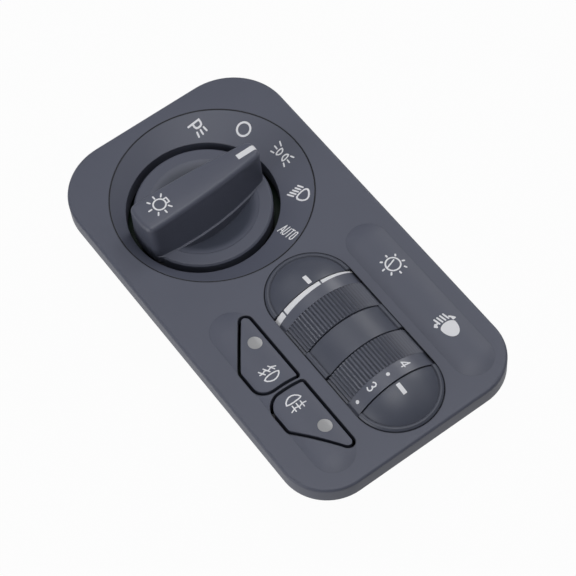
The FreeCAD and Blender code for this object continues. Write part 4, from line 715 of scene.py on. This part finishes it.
# %% Parking and off
PARKING_AT, PARKING_STROKE, PARKING_RAY = (-49.49, 9.42), 0.56, 0.54
OFF_AT, OFF_RADIUS, OFF_STROKE = (-41.45, 18.8), 1.8, 0.56
parking = Print()
parking.line(PARKING_STROKE, (-1.65, -1.8), (-1.65, 1.6), (-0.75, 1.6), (-0.25, 1.4), (-0.02, 0.95),
             (0.0, 0.3), (-0.22, -0.22), (-0.7, -0.45), (-1.65, -0.45))
parking.rays(PARKING_RAY, (0.72, 1.5, 1.85, 1.65), (0.85, 0.4, 2.0, 0.32), (0.8, -0.72, 1.95, -0.98))
parking.drop_on("front_panel", *PARKING_AT).made("mark_parking", "housing")

off = Print()
off.ring(0, 0, OFF_RADIUS, OFF_STROKE)
off.drop_on("front_panel", *OFF_AT).made("mark_off", "housing")

# %% [markdown]
# Side lamps are two small lamps back to back, each with three rays, and low beam is a lamp whose five rays
# point down. The lamps' outlines are closed lines of bars, because their curve is no part of a circle.

# %% Side lamps and low beam
SIDE_AT, SIDE_STROKE, SIDE_RAY = (-28.67, 22.2), 0.4, 0.42
BEAM_AT, BEAM_STROKE, BEAM_RAY, BEAM_RAYS = (-15.53, 18.23), 0.5, 0.48, 5
side_lamps = Print()
side_lamps.loop(SIDE_STROKE, (-1.25, 0.85), (-0.8, 0.75), (-0.42, 0.3), (-0.32, -0.25), (-0.5, -0.85),
                (-0.95, -1.25), (-1.25, -1.1), (-1.42, -0.5), (-1.45, 0.3))
side_lamps.loop(SIDE_STROKE, (1.45, 0.95), (1.05, 0.75), (0.78, 0.25), (0.78, -0.4), (1.1, -0.95),
                (1.55, -1.25), (1.8, -0.95), (1.82, -0.2), (1.7, 0.55))
side_lamps.rays(SIDE_RAY, (-3.2, 1.55, -2.05, 1.1), (-3.2, -0.15, -2.2, -0.18), (-2.85, -1.7, -1.95, -1.45),
                (2.3, 1.12, 3.15, 1.45), (2.5, -0.15, 3.4, -0.22), (2.4, -1.4, 3.3, -1.82))
side_lamps.drop_on("front_panel", *SIDE_AT).made("mark_side_lamps", "housing")

low_beam = Print()
low_beam.loop(BEAM_STROKE, (0.5, 2.25), (1.15, 2.1), (1.9, 1.65), (2.5, 1.1), (2.8, 0.45), (2.65, -0.15),
              (2.15, -0.75), (1.4, -1.15), (0.6, -1.3), (0.1, -1.0), (-0.15, -0.3), (-0.25, 0.6),
              (-0.15, 1.5), (0.1, 2.0))
low_beam.rays(BEAM_RAY, *((-1.0 + 0.06 * i, 1.75 - 0.82 * i, -2.4, 1.2 - 0.85 * i) for i in range(BEAM_RAYS)))
low_beam.drop_on("front_panel", *BEAM_AT).made("mark_low_beam", "housing")

# %% [markdown]
# The last position is the word AUTO. A font would be quicker, but its strokes would differ from the narrow
# capitals of such panels, so the four letters are lines as well.

# %% Automatic
AUTO_AT, AUTO_STROKE, AUTO_CROSSBAR = (-8.34, 9.19), 0.34, 0.3
auto = Print()
auto.line(AUTO_STROKE, (-2.35, -1.7), (-1.75, 0.95), (-1.1, -1.6))
auto.bar(-2.12, -0.85, -1.35, -0.85, AUTO_CROSSBAR)
auto.line(AUTO_STROKE, (-0.7, 1.1), (-0.78, -0.95), (-0.62, -1.4), (-0.3, -1.6), (0.0, -1.4),
          (0.12, -0.95), (0.1, 1.05))
auto.line(AUTO_STROKE, (0.55, 1.15), (1.55, 1.25))
auto.line(AUTO_STROKE, (1.05, 1.2), (1.2, -1.5))
auto.loop(AUTO_STROKE, (2.12, 1.1), (2.42, 1.38), (2.78, 1.15), (3.1, -0.85), (2.85, -1.28),
          (2.48, -1.38), (2.15, -1.05))
auto.drop_on("front_panel", *AUTO_AT).made("mark_auto", "housing")

# %% [markdown]
# The pad above the wheels says what each wheel does. Panel lamp brightness, on the left, is a bulb with rays
# all round, and beam height, on the right, is a filled lamp with four rays and a small arrow at each end.
# The filled lamp is a disc whose two halves are stretched by different amounts.

# %% Marks on the symbol pad
PAD_STRIP = 0.8
DIMMING_AT, DIMMING_RADIUS, DIMMING_STROKE, DIMMING_RAY = (17.6, 23.25), 1.95, 0.42, 0.5
LEVEL_AT, LEVEL_STROKE, LEVEL_RAY, LEVEL_RAYS, LEVEL_PITCH = (40.0, 23.1), 0.55, 0.5, 4, 0.92
LAMP_SIDES, LAMP_RADIUS, LAMP_NOSE, LAMP_BACK, LAMP_SHIFT = 36, 2.25, 1.5, 0.56, 0.15
dimming = Print()
dimming.ring(-0.1, 0.05, DIMMING_RADIUS, DIMMING_STROKE)
dimming.line(DIMMING_STROKE, (-1.0, 0.95), (-0.6, -0.1), (-0.15, -1.6))
dimming.rays(DIMMING_RAY, (0.45, 2.65, 0.6, 3.05), (2.2, 2.0, 2.6, 2.25), (2.75, 0.05, 3.2, 0.05),
             (1.75, -1.85, 2.15, -2.2), (-0.25, -2.65, -0.22, -3.1), (-2.45, -2.1, -2.2, -1.8),
             (-3.1, 0.12, -2.75, 0.1), (-2.1, 2.3, -1.8, 2.1))
dimming.drop_on("front_panel", *DIMMING_AT, width=PAD_STRIP).made("mark_dimming", "housing")

levelling = Print()
blob = bmesh.ops.create_circle(levelling.bm, cap_ends=True, segments=LAMP_SIDES, radius=LAMP_RADIUS)["verts"]
bmesh.ops.scale(levelling.bm, verts=[v for v in blob if v.co.x > 0], vec=(LAMP_NOSE, 1, 1))
bmesh.ops.scale(levelling.bm, verts=[v for v in blob if v.co.x < 0], vec=(LAMP_BACK, 1, 1))
levelling.put(blob, 0.0, LAMP_SHIFT, 0.0)
levelling.rays(LEVEL_RAY, *((-1.65, 1.35 - LEVEL_PITCH * i, -3.3, 0.98 - LEVEL_PITCH * i)
                            for i in range(LEVEL_RAYS)))
levelling.line(LEVEL_STROKE, (-1.95, 1.85), (-1.55, 2.3), (-0.95, 2.8), (-0.85, 2.25), (-1.5, 2.3))
levelling.line(LEVEL_STROKE, (-1.95, -2.0), (-1.75, -2.8), (-1.35, -2.45), (-2.1, -2.4), (-1.75, -2.8))
levelling.drop_on("front_panel", *LEVEL_AT, width=PAD_STRIP).made("mark_levelling", "housing")

# %% [markdown]
# The fog buttons carry a lamp with rays that a wavy line crosses: slanting rays for the front fog lamps and
# level ones for the rear. Each mark rides on its own button, so it sinks with it.

# %% Marks on the fog lamp buttons
FOG_OUTLINE, FOG_RAY, FOG_WAVE, FOG_RAYS = 0.38, 0.36, 0.34, 3
FRONT_AT, FRONT_PITCH = (23.9, -19.5), 1.42
REAR_AT, REAR_PITCH = (34.0, -19.4), 1.22
front_fog = Print()
front_fog.loop(FOG_OUTLINE, (0.45, 2.15), (1.05, 1.8), (1.55, 1.2), (1.9, 0.4), (1.95, -0.4), (1.7, -1.2),
               (1.25, -1.85), (0.65, -2.2), (0.3, -1.6), (0.1, -0.6), (0.1, 0.5), (0.22, 1.6))
front_fog.rays(FOG_RAY, *((-0.55, 1.65 - FRONT_PITCH * i, -2.1, 0.75 - FRONT_PITCH * i)
                          for i in range(FOG_RAYS)))
front_fog.line(FOG_WAVE, (-1.1, 2.35), (-1.5, 1.3), (-1.05, 0.2), (-1.5, -0.75), (-1.1, -1.5), (-1.2, -2.3))
front_fog.drop_on("front_fog_button", *FRONT_AT, width=PAD_STRIP).made("mark_front_fog", "front_fog")

rear_fog = Print()
rear_fog.loop(FOG_OUTLINE, (-0.65, 2.15), (-1.25, 1.75), (-1.75, 1.1), (-2.02, 0.3), (-2.0, -0.5),
              (-1.7, -1.25), (-1.15, -1.9), (-0.5, -2.2), (-0.25, -1.5), (-0.18, -0.3), (-0.28, 1.0), (-0.4, 1.8))
rear_fog.rays(FOG_RAY, *((0.45, 1.25 - REAR_PITCH * i, 2.15, 1.22 - REAR_PITCH * i) for i in range(FOG_RAYS)))
rear_fog.line(FOG_WAVE, (1.25, 2.3), (1.15, 1.3), (1.55, 0.3), (1.25, -0.8), (1.75, -2.2))
rear_fog.drop_on("rear_fog_button", *REAR_AT, width=PAD_STRIP).made("mark_rear_fog", "rear_fog")

# %% [markdown]
# Each wheel is read against a white bar on the cap beside it. The caps are domed, so the bars are laid on them
# from above like the print on the panel.

# %% Cap marks
TICK_WIDTH, TICK_CORNER = 1.15, 0.15
TICKS = (("cap_mark_dimmer", 9.5, 2.5, 2.75), ("cap_mark_level", 48.2, 2.25, 3.15))
for name, x, y, length in TICKS:
    tick = Print()
    tick.plate(length, TICK_WIDTH, TICK_CORNER)
    tick.drop_on("wheel_surround", x, y, width=PAD_STRIP).made(name, "housing")

# %% [markdown]
# The dimmer's band carries a wedge that grows with the brightness, in five blocks with small gaps. A block is
# one face that is wider at one end, and is rolled on.

# %% The dimmer's wedge
WEDGE_ENDS, WEDGE_X, WEDGE_GAP = (-34.0, -21.9, -9.8, 2.3, 14.4, 26.5), 11.72, 0.25
WEDGE_MIDDLE, WEDGE_SLOPE, WEDGE_LEAST, WEDGE_MOST = 1.13, 0.052, 0.35, 2.2
for i, (low, high) in enumerate(zip(WEDGE_ENDS, WEDGE_ENDS[1:])):
    wedge = Print()
    for v in bmesh.ops.create_grid(wedge.bm, x_segments=1, y_segments=1, size=0.5)["verts"]:
        v.co.y = high - WEDGE_GAP if v.co.y > 0 else low + WEDGE_GAP
        wide = max(WEDGE_LEAST, min(WEDGE_MOST, WEDGE_MIDDLE - WEDGE_SLOPE * v.co.y))
        v.co.x = wide if v.co.x > 0 else 0.0
    wedge.wrap_on_wheel(WEDGE_X, 0.0).made(f"dimming_wedge_{i}", "dimmer")

# %% [markdown]
# The levelling wheel's band carries the steps 4 to 0 with a dot between each two. At rest the viewer sees 4
# and 3, and the others come up as the wheel turns.

# %% Digits and dots on the levelling wheel
DIGIT_STROKE, DIGIT_X, DIGIT_FIRST, DIGIT_TURN = 0.38, 43.15, 18.0, 38.0
DOT_RADIUS, DOT_X, DOT_FIRST, DOT_TURN = 0.5, 43.25, -1.6, 37.5
DIGITS = {
    "4": [((0.35, -1.3), (0.35, 1.3), (-0.8, -0.6), (0.75, -0.6))],
    "3": [((-0.6, 0.95), (-0.2, 1.25), (0.3, 1.2), (0.6, 0.8), (0.45, 0.3), (0.0, 0.1)),
          ((0.0, 0.1), (0.5, -0.15), (0.65, -0.65), (0.4, -1.1), (-0.1, -1.25), (-0.6, -1.0))],
    "2": [((-0.6, 0.75), (-0.3, 1.2), (0.2, 1.25), (0.6, 0.9), (0.5, 0.35), (-0.65, -1.25), (0.7, -1.25))],
    "1": [((-0.5, 0.75), (0.1, 1.25), (0.1, -1.25))],
    "0": [((0, 1.25), (0.45, 0.95), (0.62, 0.3), (0.62, -0.3), (0.45, -0.95), (0, -1.25), (-0.45, -0.95),
           (-0.62, -0.3), (-0.62, 0.3), (-0.45, 0.95), (0, 1.25))],
}
for i, (digit, strokes) in enumerate(DIGITS.items()):
    figure = Print()
    for stroke in strokes:
        figure.line(DIGIT_STROKE, *stroke)
    figure.wrap_on_wheel(DIGIT_X, DIGIT_FIRST - DIGIT_TURN * i).made("level_digit_" + digit, "levelling")
    if i < len(DIGITS) - 1:
        spot = Print()
        spot.dot(DOT_RADIUS)
        spot.wrap_on_wheel(DOT_X, DOT_FIRST - DOT_TURN * i).made(f"level_dot_{i}", "levelling")

# %% [markdown]
# The tail of the grip bar carries a bulb with rays. It rides on the knob, so it turns with it.

# %% Bulb mark on the knob
BULB_AT, BULB_RADIUS, BAR_STRIP = (-29.6, -16.2), 1.65, 2.0
BULB_STROKE, BULB_SOCKET, BULB_RAY = 0.44, 0.4, 0.46
bulb = Print()
bulb.ring(0, 1.2, BULB_RADIUS, BULB_STROKE)
bulb.line(BULB_SOCKET, (-0.75, 2.7), (-0.75, 3.7), (0.75, 3.7), (0.75, 2.7))
bulb.rays(BULB_RAY, (-2.4, 3.3, -1.75, 2.75), (1.65, 2.85, 2.4, 3.35), (2.35, 1.3, 3.1, 1.35),
          (1.9, -0.4, 2.55, -0.85), (0.08, -1.3, 0.1, -2.1), (-2.35, -1.0, -1.75, -0.6),
          (-2.95, 1.12, -2.2, 1.15))
bulb.drop_on("knob", *BULB_AT, width=BAR_STRIP).made("mark_bulb", "knob")
